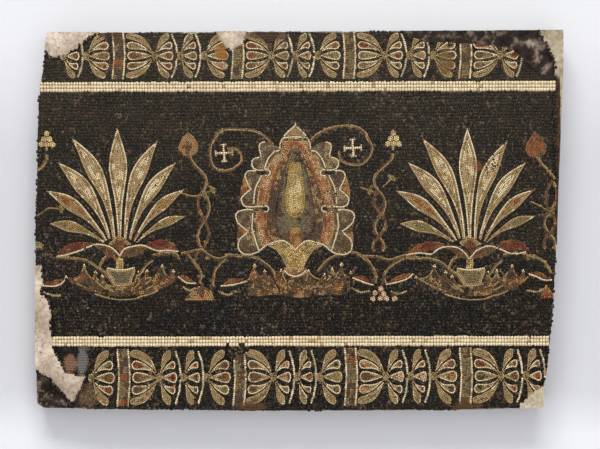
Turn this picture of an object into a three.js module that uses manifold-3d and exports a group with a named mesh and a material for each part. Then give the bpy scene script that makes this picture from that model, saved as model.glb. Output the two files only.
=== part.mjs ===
// A wall-hung mosaic panel: a stone slab, a mortar bed, and a thin face of tesserae inlaid flush
// with one another. Millimetres. The panel is drawn lying down, with x to the right, y up the
// picture and z from the wall to the face. The last lines stand it up, so that +Z is up and the
// picture faces -Y.
import * as THREE from 'three';
import { mergeVertices } from 'three/addons/utils/BufferGeometryUtils.js';
import Module from 'manifold-3d';

const wasm = await Module();
wasm.setup();

// ---------------------------------------------------------------- driving dimensions
const SLAB_FRONT = 26; // distance from the wall to the front of the stone slab
const BED_FRONT = 34; // to the front of the mortar bed
const FACE = 40; // to the face of the tesserae
const POCKET_FLOOR = 35; // to the floor of the pockets that the picture is let into
const GAP = 0.3; // joint between neighbouring inlays
const CUT_MARGIN = 4; // how far a cutter reaches past what it cuts
const EDGE_STEP = 28; // spacing of the points along a broken edge

// The outline of the whole panel, clockwise from the top left corner.
const PANEL_EDGE = [
  [-303, 227], [318, 230], [318, 188], [316, 130], [312, 37], [310, -35], [307, -100],
  [303, -143], [299, -182], [295, -199], [294, -225], [265, -227], [181, -229], [1, -230],
  [-227, -228], [-309, -226], [-317, -221], [-318, -143], [-318, -59], [-319, -11],
  [-317, 37], [-316, 97], [-315, 145], [-312, 164], [-308, 193], [-306, 214],
];

// The two pale fillets that part the field from its borders.
const FILLET_WIDTH = 12.2;
const FILLET_RISE = 1.4; // rise of a fillet from the left end of the panel to the right
const UPPER_FILLET_Y = 160.8;
const LOWER_FILLET_Y = -144.8;
const HALF_PANEL = 320;

// The borders. Curved bands part them into equal groups of four fans, two back to back and two
// more that open to the right. fans says which of the four are left in each group.
const BORDERS = {
  upper: {
    axis: [197.2, 198.8], // height of the hubs at the left and right ends
    fanHalf: 27.4, // half the height of a fan
    bands: [-217, -74.3, 60, 199.2],
    fans: [[2, 3], [0, 1, 2, 3], [0, 1, 2, 3], [0, 1, 2, 3], [0, 1]],
  },
  lower: {
    axis: [-189.4, -186.2],
    fanHalf: 33.5,
    bands: [-211, -71.8, 62, 200],
    fans: [[3], [0, 1, 2, 3], [0, 1, 2, 3], [0, 1, 2, 3], [0, 1, 2]],
  },
};
const BAND_WIDTH = 15;
const BAND_BOW = 2;
const BAND_REACH = 1.03; // half the height of a band, as a share of fanHalf
const BAND_SPACE = 2.4; // ground between a band and the fans beside it
const GROUP_LENGTH = 118;
// Hub and petal ends of each fan, as shares of the group's length.
const FANS = [[0.272, 0], [0.272, 0.46], [0.523, 0.69], [0.757, 1]];
const FAN_BOW = 5; // how far the outer petals fall back on a fan that opens to the right
const HUB_HALF = 1.5;
const PETALS = 5;

// The two fan plants, in sizes from the point where their leaves meet.
const PLANT_Y = -26;
const LEFT_PLANT_X = -216;
const RIGHT_PLANT_X = 204;
const LEAF_BOW = 0.07; // rise of a leaf's spine over its chord, as a share of its length
const LEAF_BASE = 0.24; // width at the root, as a share of the full width
const LEAF_PEAK = 1.16; // exponent that places the widest point past the middle
const LEAF_STEPS = 4;
// One leaf a row: root x, root y, tip x, tip y, full width.
const CENTRE_LEAF = [0, 2, -2.5, 137, 21.5];
const LEFT_LEAVES = [[-6.4, 2, -56, 123, 18], [-11.8, 1, -72, 95.5, 18], [-15.6, 0, -86, 62.5, 13.5],
  [-18, -1, -84, 26, 12]];
const RIGHT_LEAVES = [[8.2, 2, 46, 121.5, 18], [12.8, 1, 70, 95.5, 15], [18, 0, 78, 64, 12.5],
  [22, -1, 80, 31, 10.5]];

// The lotus, in sizes from its axis, with heights on the panel. Its right half is mirrored.
const LOTUS_X = -5;
const LOTUS_BODY = [
  [0, 97], [12, 95], [17, 86.5], [32.4, 75], [37.2, 60.6], [30.5, 60.4], [30.5, 54.6],
  [39.6, 53.6], [46.8, 40.8], [48.6, 24.6], [48, 17.6], [33.6, 17.4], [33.6, 10.4],
  [49, 10.2], [49.4, -12.6], [44.4, -35], [33.5, -30.3], [18, -23.4], [7.7, -25.8], [0, -34.2],
];
const LOTUS_LOBES = [
  [[12, 82], [24, 90], [34, 94.4], [42, 90], [42.5, 79], [49.6, 73.6], [50.6, 64.4], [40, 60], [28, 60]],
  [[32, 54], [41, 54.4], [50, 58.4], [58, 56], [61.6, 46], [61, 36], [64, 26.4], [61, 18], [34, 17.6]],
  [[34, 10], [60, 11.8], [68.6, 9], [71, 0], [69, -12], [70, -24], [67, -36], [58, -40.6], [46, -37.4],
    [34, -29]],
];
const LOTUS_CAP = [[0, 118.5], [6.5, 110.5], [13, 103], [14.6, 98], [7.5, 99.5], [0, 100]];
const LOTUS_CALYX = [
  [0, -34.2], [7.7, -25.8], [18, -23.4], [33.5, -30.3], [22, -33], [14, -42], [10, -54], [12.5, -60],
  [9, -65.5], [0, -68],
];
const LOTUS_HEART = { top: 91, bottom: -24, half: 21, peak: 2.2 };
const LOTUS_SEED = { top: 80, bottom: 1, half: 9.4, peak: 2 };

// The acanthus feet: reach to the left and right, height of the tips, of the ends and of the sole.
const PLANT_FOOT = { left: -62, right: 70, tips: -28, ends: -49, sole: -70, teeth: 4 };
const LOTUS_FOOT = { left: -52, right: 64, tips: -55, ends: -78, sole: -95, teeth: 4 };
const TOOTH_DROP = 10;

const BERRY_CLUSTERS = [[-303, 96], [-133, 96], [113, 97], [284, 95]];
const CLUSTER_HALF = 10.5;
const CLUSTER_HEIGHT = 24;

// Repairs and losses.
const PLASTER_TOP_LEFT = [
  [-320, 240], [-236, 240], [-242, 225], [-257, 217], [-268, 207], [-280, 200], [-287, 196],
  [-299, 196], [-304, 203], [-312, 206],
];
const PLASTER_TOP_MIDDLE = [[-106, 240], [-62, 240], [-64, 225], [-68, 211], [-83, 204], [-94, 215]];
const PLASTER_LOWER_LEFT = [
  [-330, -53], [-309, -53], [-307.6, -77], [-311, -86], [-301.6, -95.4], [-298, -110],
  [-299.2, -125.4], [-296.8, -137.4], [-295.6, -155.4], [-287.2, -170], [-281.2, -182],
  [-265.6, -186.6], [-256, -187], [-264, -204], [-273, -219], [-287, -203.4], [-299, -189.6],
  [-310, -184.5], [-317, -176], [-330, -172],
];
const BROKEN_CORNER = [
  [-330, -174], [-317.5, -177.5], [-310.4, -186], [-299.4, -191], [-287.6, -205], [-274, -220.5],
  [-272, -240], [-330, -240],
];
const PLASTER_LOWER_RIGHT = [[263, -240], [265, -221], [272, -213], [283, -204], [300, -194], [300, -240]];
const LOSS_TOP_RIGHT = [
  [118, 240], [123, 228], [134, 219], [151, 214], [205, 212], [241, 207], [255, 204.5], [273, 190],
  [290, 177], [300, 169.5], [307.6, 168.6], [308, 178], [305, 194], [296, 214], [288, 226], [286, 240],
];
const MARGIN_RIGHT = [
  [286.4, 240], [288.4, 226.2], [296.4, 214.2], [305.4, 194.2], [308.4, 178], [308, 120], [309, 60],
  [308, -5], [309.5, -30], [330, -30], [330, 240],
];
const CHIP = [[-86, -149.5], [-66, -148.5], [-59, -152], [-60, -158], [-68, -161], [-78, -166], [-86, -161]];

// ---------------------------------------------------------------- outlines
const hash = (i, seed) => {
  const value = Math.sin(i * 127.1 + seed * 311.7) * 43758.5453;
  return value - Math.floor(value);
};

const counterClockwise = (points) => {
  const vectors = points.map(([x, y]) => new THREE.Vector2(x, y));
  return THREE.ShapeUtils.isClockWise(vectors) ? [...points].reverse() : points;
};

// Moves each point of an outline outwards by distance(i), along the mean normal of its two sides.
const shift = (points, distance) => {
  const ring = counterClockwise(points);
  return ring.map(([x, y], i) => {
    const [ax, ay] = ring[(i + ring.length - 1) % ring.length];
    const [bx, by] = ring[(i + 1) % ring.length];
    const before = new THREE.Vector2(y - ay, ax - x).normalize();
    const after = new THREE.Vector2(by - y, x - bx).normalize();
    const normal = before.clone().add(after).normalize();
    const miter = 1 / Math.max(0.6, normal.dot(after));
    return [x + normal.x * distance(i) * miter, y + normal.y * distance(i) * miter];
  });
};

const grow = (points) => shift(points, () => GAP);

// The panel's outline with points every EDGE_STEP, set back by inset and chipped at random.
const brokenEdge = (inset, chip, seed) => {
  const ring = [];
  PANEL_EDGE.forEach(([x, y], i) => {
    const [nextX, nextY] = PANEL_EDGE[(i + 1) % PANEL_EDGE.length];
    const count = Math.max(1, Math.round(Math.hypot(nextX - x, nextY - y) / EDGE_STEP));
    for (let k = 0; k < count; k += 1) {
      ring.push([x + ((nextX - x) * k) / count, y + ((nextY - y) * k) / count]);
    }
  });
  return shift(ring, (i) => -inset - chip * hash(i, seed));
};

const mirrored = (half) => {
  const left = half.filter(([x]) => x > 0).map(([x, y]) => [-x, y]).reverse();
  return [...half, ...left];
};

const moved = (points, dx, dy) => points.map(([x, y]) => [x + dx, y + dy]);

const strip = (centreY) => {
  const half = FILLET_WIDTH / 2;
  const tilt = FILLET_RISE / 2;
  return [
    [-HALF_PANEL, centreY - tilt - half], [HALF_PANEL, centreY + tilt - half],
    [HALF_PANEL, centreY + tilt + half], [-HALF_PANEL, centreY - tilt + half],
  ];
};

// A curved bar that bulges to the right, as a closing bracket does.
const bracket = (x, y, half, width, bow) => {
  const side = (offset) => [[x + offset, y - half], [x + offset + bow, y], [x + offset, y + half]];
  return [...side(0), ...side(width).reverse()];
};

// A fan of petals, from its hub to the line of its petal ends. link is how far the middle petal
// reaches on, to touch the next hub.
const fan = (hub, end, y, half, link) => {
  const reach = end - hub;
  const fallBack = reach > 0 ? FAN_BOW : BAND_BOW;
  const edge = (t, share) => [hub + reach * share - fallBack * t * t, y + t * half];
  const shoulder = (t) => [hub + reach * 0.5, y + t * half * 0.8];
  const ring = [[hub, y - HUB_HALF], shoulder(-1)];
  for (let i = 0; i < PETALS; i += 1) {
    if (i > 0) {
      ring.push(edge((2 * i) / PETALS - 1, 0.8));
    }
    const [x, height] = edge((2 * i + 1) / PETALS - 1, 1);
    const middle = i === (PETALS - 1) / 2;
    ring.push([middle ? x + link : x, height + (i === 0 ? -3 : 0) + (i === PETALS - 1 ? 3 : 0)]);
  }
  ring.push(shoulder(1), [hub, y + HUB_HALF]);
  return ring;
};

const leaf = ([rootX, rootY, tipX, tipY, width]) => {
  const root = new THREE.Vector2(rootX, rootY);
  const tip = new THREE.Vector2(tipX, tipY);
  const chord = tip.clone().sub(root);
  const inward = tipX < rootX ? 1 : -1;
  const rise = new THREE.Vector2(chord.y, -chord.x).multiplyScalar(inward * LEAF_BOW * 2);
  if (Math.abs(chord.x) < width / 2) {
    rise.set(0, 0);
  }
  const control = root.clone().add(tip).multiplyScalar(0.5).add(rise);
  const spine = new THREE.QuadraticBezierCurve(root, control, tip);
  const sideAt = (t, sign) => {
    const point = spine.getPoint(t);
    const tangent = spine.getTangent(t);
    const half = (width / 2) * (Math.sin(Math.PI * t ** LEAF_PEAK) + LEAF_BASE * (1 - t));
    return [point.x - tangent.y * half * sign, point.y + tangent.x * half * sign];
  };
  const steps = Array.from({ length: LEAF_STEPS }, (_, i) => i / LEAF_STEPS);
  return [
    ...steps.map((t) => sideAt(t, -1)), [tipX, tipY], ...steps.reverse().map((t) => sideAt(t, 1)),
  ];
};

const teardrop = ({ top, bottom, half, peak }, steps = 6) => {
  const side = Array.from({ length: steps - 1 }, (_, i) => {
    const t = (i + 1) / steps;
    return [half * Math.sin(Math.PI * t ** peak) ** 0.6, top + (bottom - top) * t];
  });
  return mirrored([[0, top], ...side, [0, bottom]]);
};

// A jagged leaf base: a curved sole below, and teeth above that lean away from the middle.
const acanthus = ({ left, right, tips, ends, sole, teeth }) => {
  const ring = [];
  const soleSteps = 4;
  for (let i = 0; i <= soleSteps; i += 1) {
    const t = i / soleSteps;
    ring.push([left + (right - left) * t, ends + (sole - ends) * Math.sin(Math.PI * t)]);
  }
  const upper = (reach) => Array.from({ length: teeth }, (_, i) => {
    const share = 0.9 - (0.6 * i) / (teeth - 1);
    const fall = tips - (0.2 + 0.8 * hash(i, reach)) * TOOTH_DROP * Math.abs(share - 0.62);
    return [[reach * share, fall - (share > 0.85 ? TOOTH_DROP * 0.8 : 0)],
      [reach * (share - 0.06), fall - TOOTH_DROP]];
  }).flat();
  return [...ring, ...upper(right), ...upper(left).reverse()];
};

const cluster = (x, y) => {
  const side = [[0, 1], [0.34, 0.7], [0.7, 0.4], [1, 0.12], [0.86, -0.04], [0.3, 0]];
  const ring = mirrored(side.map(([u, v]) => [u * CLUSTER_HALF, (v - 0.5) * CLUSTER_HEIGHT]));
  return moved(ring, x, y);
};

// ---------------------------------------------------------------- solids
const toSolid = (geometry) => {
  geometry.deleteAttribute('normal');
  geometry.deleteAttribute('uv');
  const merged = mergeVertices(geometry, 1e-4);
  return new wasm.Manifold(new wasm.Mesh({
    numProp: 3,
    vertProperties: new Float32Array(merged.attributes.position.array),
    triVerts: new Uint32Array(merged.index.array),
  }));
};

const prism = (points, from, to) => {
  const shape = new THREE.Shape(counterClockwise(points).map(([x, y]) => new THREE.Vector2(x, y)));
  const geometry = new THREE.ExtrudeGeometry(shape, { depth: to - from, bevelEnabled: false });
  return toSolid(geometry.translate(0, 0, from));
};

const cutter = (points, from = BED_FRONT - CUT_MARGIN) => prism(grow(points), from, FACE + CUT_MARGIN);

// A block over the box of an outline, flat below and uneven above: level plus a random lump.
const unevenBlock = (points, from, level, lump, cell, seed) => {
  const box = new THREE.Box2().setFromPoints(points.map(([x, y]) => new THREE.Vector2(x, y)));
  const size = box.getSize(new THREE.Vector2());
  const columns = Math.ceil(size.x / cell);
  const rows = Math.ceil(size.y / cell);
  const geometry = new THREE.BoxGeometry(size.x + 2, size.y + 2, level - from, columns, rows, 1);
  geometry.translate((box.min.x + box.max.x) / 2, (box.min.y + box.max.y) / 2, (level + from) / 2);
  const position = geometry.attributes.position;
  for (let i = 0; i < position.count; i += 1) {
    if (position.getZ(i) > level - 0.001) {
      const place = Math.round(position.getX(i) * 3) + 997 * Math.round(position.getY(i) * 3);
      position.setZ(i, level + lump * (2 * hash(place, seed) - 1));
    }
  }
  return toSolid(geometry);
};

const panel = new THREE.Group();
panel.name = 'mosaic_panel';

const addMesh = (name, solid, color, roughness) => {
  const { vertProperties, triVerts } = solid.getMesh();
  const geometry = new THREE.BufferGeometry();
  geometry.setAttribute('position', new THREE.Float32BufferAttribute(vertProperties, 3));
  geometry.setIndex(new THREE.Uint32BufferAttribute(triVerts, 1));
  geometry.computeVertexNormals();
  const material = new THREE.MeshStandardMaterial({ color, roughness, metalness: 0, flatShading: true });
  const mesh = new THREE.Mesh(geometry, material);
  mesh.name = name;
  panel.add(mesh);
};

// ---------------------------------------------------------------- slab, bed, repairs
const slabEdge = brokenEdge(0, 1.2, 1);
const bedEdge = brokenEdge(1.4, 1.4, 2);
const faceEdge = brokenEdge(1.8, 2.2, 3);

const addSlabAndBed = () => {
  addMesh('backing_slab', prism(slabEdge, 0, SLAB_FRONT), 0x8c867a, 0.85);
  const corner = unevenBlock(BROKEN_CORNER, SLAB_FRONT + 4, BED_FRONT + CUT_MARGIN, 0, 60, 5);
  const hollow = prism(BROKEN_CORNER, SLAB_FRONT + 3.5, BED_FRONT + CUT_MARGIN).intersect(corner);
  addMesh('setting_bed', prism(bedEdge, SLAB_FRONT, BED_FRONT).subtract(hollow), 0xa89a80, 0.95);
};

const FILLS = [
  { name: 'plaster_top_left', outline: PLASTER_TOP_LEFT, level: FACE + 0.4, lump: 0.9, color: 0xd8ccb4 },
  { name: 'plaster_top_middle', outline: PLASTER_TOP_MIDDLE, level: FACE, lump: 0.7, color: 0xd2c6ae },
  { name: 'plaster_lower_left', outline: PLASTER_LOWER_LEFT, level: FACE + 0.6, lump: 1.1, color: 0xd9ccb2 },
  { name: 'plaster_lower_right', outline: PLASTER_LOWER_RIGHT, level: FACE - 0.4, lump: 0.7, color: 0xcfc2aa },
  { name: 'mortar_right_margin', outline: MARGIN_RIGHT, level: FACE - 1.2, lump: 0.8, color: 0xb7a98e },
  { name: 'exposed_mortar_top_right', outline: LOSS_TOP_RIGHT, level: FACE - 2.2, lump: 1.3, color: 0x4a3a2c },
];
const FILL_CELL = 18;

const addFills = () => {
  FILLS.forEach(({ name, outline, level, lump, color }, i) => {
    const block = unevenBlock(outline, BED_FRONT, level, lump, FILL_CELL, i + 10);
    const inside = prism(bedEdge, BED_FRONT - CUT_MARGIN, FACE + CUT_MARGIN);
    const region = prism(outline, BED_FRONT - CUT_MARGIN, FACE + CUT_MARGIN);
    addMesh(name, block.intersect(region).intersect(inside), color, 0.95);
  });
};

// ---------------------------------------------------------------- inlays
// Each inlay is {name, outlines, color}. One listed later is let into those listed before it.
const borderInlays = (side, { axis, fanHalf, bands, fans }) => {
  const axisAt = (x) => axis[0] + ((axis[1] - axis[0]) * (x + HALF_PANEL)) / (2 * HALF_PANEL);
  const besideBand = BAND_WIDTH / 2 + BAND_SPACE;
  const groups = fans.map((kept, i) => {
    const start = i > 0 ? bands[i - 1] + besideBand : bands[0] - besideBand - GROUP_LENGTH;
    const end = i < bands.length ? bands[i] - besideBand : start + GROUP_LENGTH;
    const at = (share) => start + (end - start) * share;
    const outlines = kept.map((k) => {
      const [hub, reach] = FANS[k];
      const next = kept.includes(k + 1) && k > 0 ? at(FANS[k + 1][0] - reach) - start + GAP : 0;
      return fan(at(hub) + (k === 1 ? -GAP : 0), at(reach), axisAt(at(hub)), fanHalf, next);
    });
    return { name: `${side}_palmettes_${i + 1}`, outlines, color: 0xb59c72 };
  });
  const strips = bands.map((x, i) => {
    const left = x - BAND_WIDTH / 2 - BAND_BOW / 2;
    const outlines = [bracket(left, axisAt(x), fanHalf * BAND_REACH, BAND_WIDTH, BAND_BOW)];
    return { name: `${side}_band_${i + 1}`, outlines, color: 0x7a6450 };
  });
  return [...groups, ...strips];
};

const plantInlays = (side, x) => {
  const place = (outline) => moved(outline, x, PLANT_Y);
  const leaves = [CENTRE_LEAF, ...LEFT_LEAVES, ...RIGHT_LEAVES].map(leaf);
  const collar = [[-21, -1.5], [-13, 4], [0, 12], [14, 5], [25, -1], [12, -4.4], [0, -6], [-12, -4.2]];
  const petals = [
    [-75, -15.4], [-61, -6], [-48.6, -1], [-34, -2.4], [-24, -2.2], [-11.4, -5], [0, -14.6],
    [9, -8], [18, -4], [32, -4], [50, -0.4], [62, -4.6], [71, -13.6], [60, -15.4], [40, -8],
    [30, -17], [14, -20], [5.4, -23], [4.8, -30.6], [-4.8, -30.6], [-5, -24], [-14, -21], [-24, -18],
    [-34, -8], [-50, -12],
  ];
  const bud = [[0, 5], [5.6, 0], [7.8, -6], [4, -10.4], [0, -13.8], [-4, -10.4], [-7.8, -6], [-5.6, 0]];
  const cup = [[-15.4, -31.2], [1.4, -33], [18.2, -31.2], [12.6, -50], [-8.6, -51]];
  return [
    { name: `${side}_plant_leaves`, outlines: [...leaves.map(place), place(collar)], color: 0xa8946a },
    { name: `${side}_plant_acanthus`, outlines: [place(acanthus(PLANT_FOOT))], color: 0x80603c },
    { name: `${side}_plant_petals`, outlines: [place(petals)], color: 0x8a4a34 },
    { name: `${side}_plant_bud`, outlines: [place(bud)], color: 0x7a3a26 },
    { name: `${side}_plant_cup`, outlines: [place(cup)], color: 0x8c8260 },
  ];
};

const lotusInlays = () => {
  const place = (outline) => moved(outline, LOTUS_X, 0);
  const flipped = (outline) => outline.map(([x, y]) => [-x, y]);
  const lobes = LOTUS_LOBES.flatMap((outline, i) => [
    { name: `lotus_lobe_left_${i + 1}`, outlines: [place(flipped(outline))], color: 0x7d6a4e },
    { name: `lotus_lobe_right_${i + 1}`, outlines: [place(outline)], color: 0x7d6a4e },
  ]);
  return [
    { name: 'lotus_acanthus', outlines: [place(acanthus(LOTUS_FOOT))], color: 0x705a3c },
    ...lobes,
    { name: 'lotus_body', outlines: [place(mirrored(LOTUS_BODY))], color: 0xa8684a },
    { name: 'lotus_cap', outlines: [place(mirrored(LOTUS_CAP))], color: 0x8c8058 },
    { name: 'lotus_heart', outlines: [place(teardrop(LOTUS_HEART))], color: 0x4c4238 },
    { name: 'lotus_seed', outlines: [place(teardrop(LOTUS_SEED))], color: 0x9c8648 },
    { name: 'lotus_calyx', outlines: [place(mirrored(LOTUS_CALYX))], color: 0xa88a44 },
  ];
};

const clusterInlays = () => BERRY_CLUSTERS.map(([x, y], i) => (
  { name: `berry_cluster_${i + 1}`, outlines: [cluster(x, y)], color: 0x9a7650 }));

const zone = (from, to) => [[-HALF_PANEL, from], [HALF_PANEL, from], [HALF_PANEL, to], [-HALF_PANEL, to]];

const addFace = () => {
  const top = HALF_PANEL;
  const fillets = [
    { name: 'upper_fillet', outlines: [strip(UPPER_FILLET_Y)], color: 0xd0bc94 },
    { name: 'lower_fillet', outlines: [strip(LOWER_FILLET_Y)], color: 0xd0bc94 },
  ];
  const grounds = [
    { name: 'field_ground', outlines: [zone(LOWER_FILLET_Y, UPPER_FILLET_Y)], color: 0x2c2824 },
    { name: 'upper_border_ground', outlines: [zone(UPPER_FILLET_Y, top)], color: 0x2c2824 },
    { name: 'lower_border_ground', outlines: [zone(-top, LOWER_FILLET_Y)], color: 0x2c2824 },
  ];
  const pictures = [
    ...borderInlays('upper', BORDERS.upper), ...borderInlays('lower', BORDERS.lower),
    ...plantInlays('left', LEFT_PLANT_X), ...plantInlays('right', RIGHT_PLANT_X),
    ...lotusInlays(), ...clusterInlays(),
  ];
  const losses = [...FILLS.map(({ outline }) => outline), BROKEN_CORNER, CHIP];
  const sheet = losses.reduce((rest, outline) => rest.subtract(cutter(outline)),
    prism(faceEdge, BED_FRONT, FACE));
  const joined = (outlines, make) => outlines.map(make).reduce((all, next) => all.add(next));
  const addInlay = ({ name, outlines, color }, from, pockets) => {
    const own = sheet.intersect(joined(outlines, (outline) => prism(outline, from, FACE + CUT_MARGIN)));
    addMesh(name, pockets.reduce((rest, pocket) => rest.subtract(pocket), own), color, 0.6);
  };
  const through = fillets.map(({ outlines }) => joined(outlines, (outline) => cutter(outline)));
  const sink = (outline) => cutter(outline, POCKET_FLOOR);
  const pockets = pictures.map(({ outlines }) => joined(outlines, sink));
  const holes = pictures.map(({ outlines }) => joined(outlines, (outline) => cutter(outline)));
  grounds.forEach((ground) => addInlay(ground, BED_FRONT, [...through, ...pockets]));
  fillets.forEach((fillet) => addInlay(fillet, BED_FRONT, []));
  pictures.forEach((picture, i) => addInlay(picture, POCKET_FLOOR, holes.slice(i + 1)));
};

addSlabAndBed();
addFills();
addFace();
panel.rotation.x = Math.PI / 2;
const model = new THREE.Group();
model.add(panel);

export default model;
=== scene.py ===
"""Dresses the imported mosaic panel: cut stones set in mortar, old repairs, and a worn stone slab.

The picture is laid out flat, in millimetres: x runs to the right, z up the panel, and the face
lies at FACE in front of the wall. Every stone is one place in that layout. The stones are then
cut to fit one another, as a mosaicist trims them, and built as small closed solids.
"""
import math
import random

import bpy
import numpy as np
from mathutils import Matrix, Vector
from mathutils.geometry import delaunay_2d_cdt


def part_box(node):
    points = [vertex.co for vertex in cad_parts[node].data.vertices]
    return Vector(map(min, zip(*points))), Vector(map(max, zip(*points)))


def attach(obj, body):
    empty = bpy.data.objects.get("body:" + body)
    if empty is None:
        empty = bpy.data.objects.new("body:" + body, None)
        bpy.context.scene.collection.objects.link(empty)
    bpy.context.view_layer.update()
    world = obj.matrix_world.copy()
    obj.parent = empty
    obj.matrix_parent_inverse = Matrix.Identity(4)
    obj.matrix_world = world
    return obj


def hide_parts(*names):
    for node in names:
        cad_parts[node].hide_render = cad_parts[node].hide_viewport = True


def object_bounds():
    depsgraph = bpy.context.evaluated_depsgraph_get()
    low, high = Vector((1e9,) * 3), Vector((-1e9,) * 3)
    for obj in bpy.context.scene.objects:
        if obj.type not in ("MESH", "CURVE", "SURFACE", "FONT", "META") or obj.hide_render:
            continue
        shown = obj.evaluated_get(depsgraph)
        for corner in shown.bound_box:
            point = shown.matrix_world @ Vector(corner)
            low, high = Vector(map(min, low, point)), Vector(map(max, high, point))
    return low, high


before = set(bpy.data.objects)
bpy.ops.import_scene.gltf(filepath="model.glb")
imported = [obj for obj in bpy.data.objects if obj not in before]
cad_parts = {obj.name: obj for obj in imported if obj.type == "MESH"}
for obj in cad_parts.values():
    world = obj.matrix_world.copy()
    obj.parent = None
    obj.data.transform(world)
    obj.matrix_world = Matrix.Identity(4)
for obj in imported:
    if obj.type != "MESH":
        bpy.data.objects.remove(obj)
cad_low, cad_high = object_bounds()
cad_low, cad_high = cad_low.copy(), cad_high.copy()

MM = 0.001
chance = random.Random(11)
dice = np.random.default_rng(11)


# ---------- places taken from the frame
def extent(node):
    """(left, right, bottom, top) of a CAD node, in millimetres."""
    low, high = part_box(node)
    return low.x / MM, high.x / MM, low.z / MM, high.z / MM


def depth_of(node):
    """How far in front of the wall the front of a CAD node lies, in millimetres."""
    return -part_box(node)[0].y / MM


FACE = depth_of("field_ground")
SLAB_FRONT = depth_of("backing_slab")
STONE_DEPTH = 4.6
BURIED = 0.35
SIDES = (("left", -1), ("right", 1))
FILLET_WIDTH = 12.2
FILLET_STONE = 3.75

# Outlines of the lotus and the plants are drawn about a middle, with their tops at these heights.
LOTUS_TOP, BUD_TOP = 118.5, 5
LOTUS_X = sum(extent("lotus_cap")[:2]) / 2
LOTUS_RISE = extent("lotus_cap")[3] - LOTUS_TOP
PLANTS = {}
for side, _ in SIDES:
    bud_left, bud_right, bud_bottom, bud_top = extent(side + "_plant_bud")
    PLANTS[side] = ((bud_left + bud_right) / 2, bud_top - BUD_TOP)
CLUSTERS = [extent("berry_cluster_%d" % number) for number in (1, 2, 3, 4)]

PANEL_EDGE = [
    (-303, 227), (318, 230), (318, 188), (316, 130), (312, 37), (310, -35), (307, -100),
    (303, -143), (299, -182), (295, -199), (294, -225), (265, -227), (181, -229), (1, -230),
    (-227, -228), (-309, -226), (-317, -221), (-318, -143), (-318, -59), (-319, -11),
    (-317, 37), (-316, 97), (-315, 145), (-312, 164), (-308, 193), (-306, 214),
]
PLASTER_TOP_LEFT = [
    (-320, 240), (-236, 240), (-242, 225), (-257, 217), (-268, 207), (-280, 200), (-287, 196),
    (-299, 196), (-304, 203), (-312, 206),
]
PLASTER_TOP_MIDDLE = [(-106, 240), (-62, 240), (-64, 225), (-68, 211), (-83, 204), (-94, 215)]
PLASTER_LOWER_LEFT = [
    (-330, -53), (-309, -53), (-307.6, -77), (-311, -86), (-301.6, -95.4), (-298, -110),
    (-299.2, -125.4), (-296.8, -137.4), (-295.6, -155.4), (-287.2, -170), (-281.2, -182),
    (-265.6, -186.6), (-256, -187), (-264, -204), (-273, -219), (-287, -203.4), (-299, -189.6),
    (-310, -184.5), (-317, -176), (-330, -172),
]
BROKEN_CORNER = [
    (-330, -174), (-317.5, -177.5), (-310.4, -186), (-299.4, -191), (-287.6, -205), (-274, -220.5),
    (-272, -240), (-330, -240),
]
PLASTER_LOWER_RIGHT = [(263, -240), (265, -221), (272, -213), (283, -204), (300, -194), (300, -240)]
LOSS_TOP_RIGHT = [
    (118, 240), (123, 228), (134, 219), (151, 214), (205, 212), (241, 207), (255, 204.5), (273, 190),
    (290, 177), (300, 169.5), (307.6, 168.6), (308, 178), (305, 194), (296, 214), (288, 226), (286, 240),
]
MARGIN_RIGHT = [
    (286.4, 240), (288.4, 226.2), (296.4, 214.2), (305.4, 194.2), (308.4, 178), (308, 120), (309, 60),
    (308, -5), (309.5, -30), (330, -30), (330, 240),
]
CHIP = [(-86, -149.5), (-66, -148.5), (-59, -152), (-60, -158), (-68, -161), (-78, -166), (-86, -161)]
LOSSES = [
    PLASTER_TOP_LEFT, PLASTER_TOP_MIDDLE, PLASTER_LOWER_LEFT, BROKEN_CORNER, PLASTER_LOWER_RIGHT,
    LOSS_TOP_RIGHT, MARGIN_RIGHT, CHIP,
]


# ---------- plane geometry
def noise(x, z, cell, seed):
    """Smooth values from -1 to 1 that change over about one cell."""
    u = np.asarray(x, float) / cell
    v = np.asarray(z, float) / cell
    i = np.floor(u)
    j = np.floor(v)
    fu = (u - i) ** 2 * (3 - 2 * (u - i))
    fv = (v - j) ** 2 * (3 - 2 * (v - j))

    def corner(a, b):
        value = np.sin(a * 127.1 + b * 311.7 + seed * 74.7) * 43758.5453
        return (value - np.floor(value)) * 2 - 1

    low = corner(i, j) * (1 - fu) + corner(i + 1, j) * fu
    high = corner(i, j + 1) * (1 - fu) + corner(i + 1, j + 1) * fu
    return low * (1 - fv) + high * fv


def inside(outline, x, z):
    """Where the points lie inside the outline."""
    hit = np.zeros(np.shape(x), bool)
    for (ax, az), (bx, bz) in zip(outline, np.roll(outline, -1, 0)):
        rise = bz - az if bz != az else 1.0
        hit ^= ((az > z) != (bz > z)) & (x < ax + (z - az) * (bx - ax) / rise)
    return hit


def spread(line, step, closed=False):
    """Evenly spaced points along a line, and the length from its start to each."""
    line = np.asarray(line, float)
    if closed:
        line = np.vstack([line, line[:1]])
    along = np.concatenate([[0], np.cumsum(np.hypot(*np.diff(line, axis=0).T))])
    count = max(2, int(round(along[-1] / step)) + 1)
    at = np.linspace(0, along[-1], count)
    points = np.column_stack([np.interp(at, along, line[:, 0]), np.interp(at, along, line[:, 1])])
    return (points[:-1], at[:-1]) if closed else (points, at)


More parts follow.
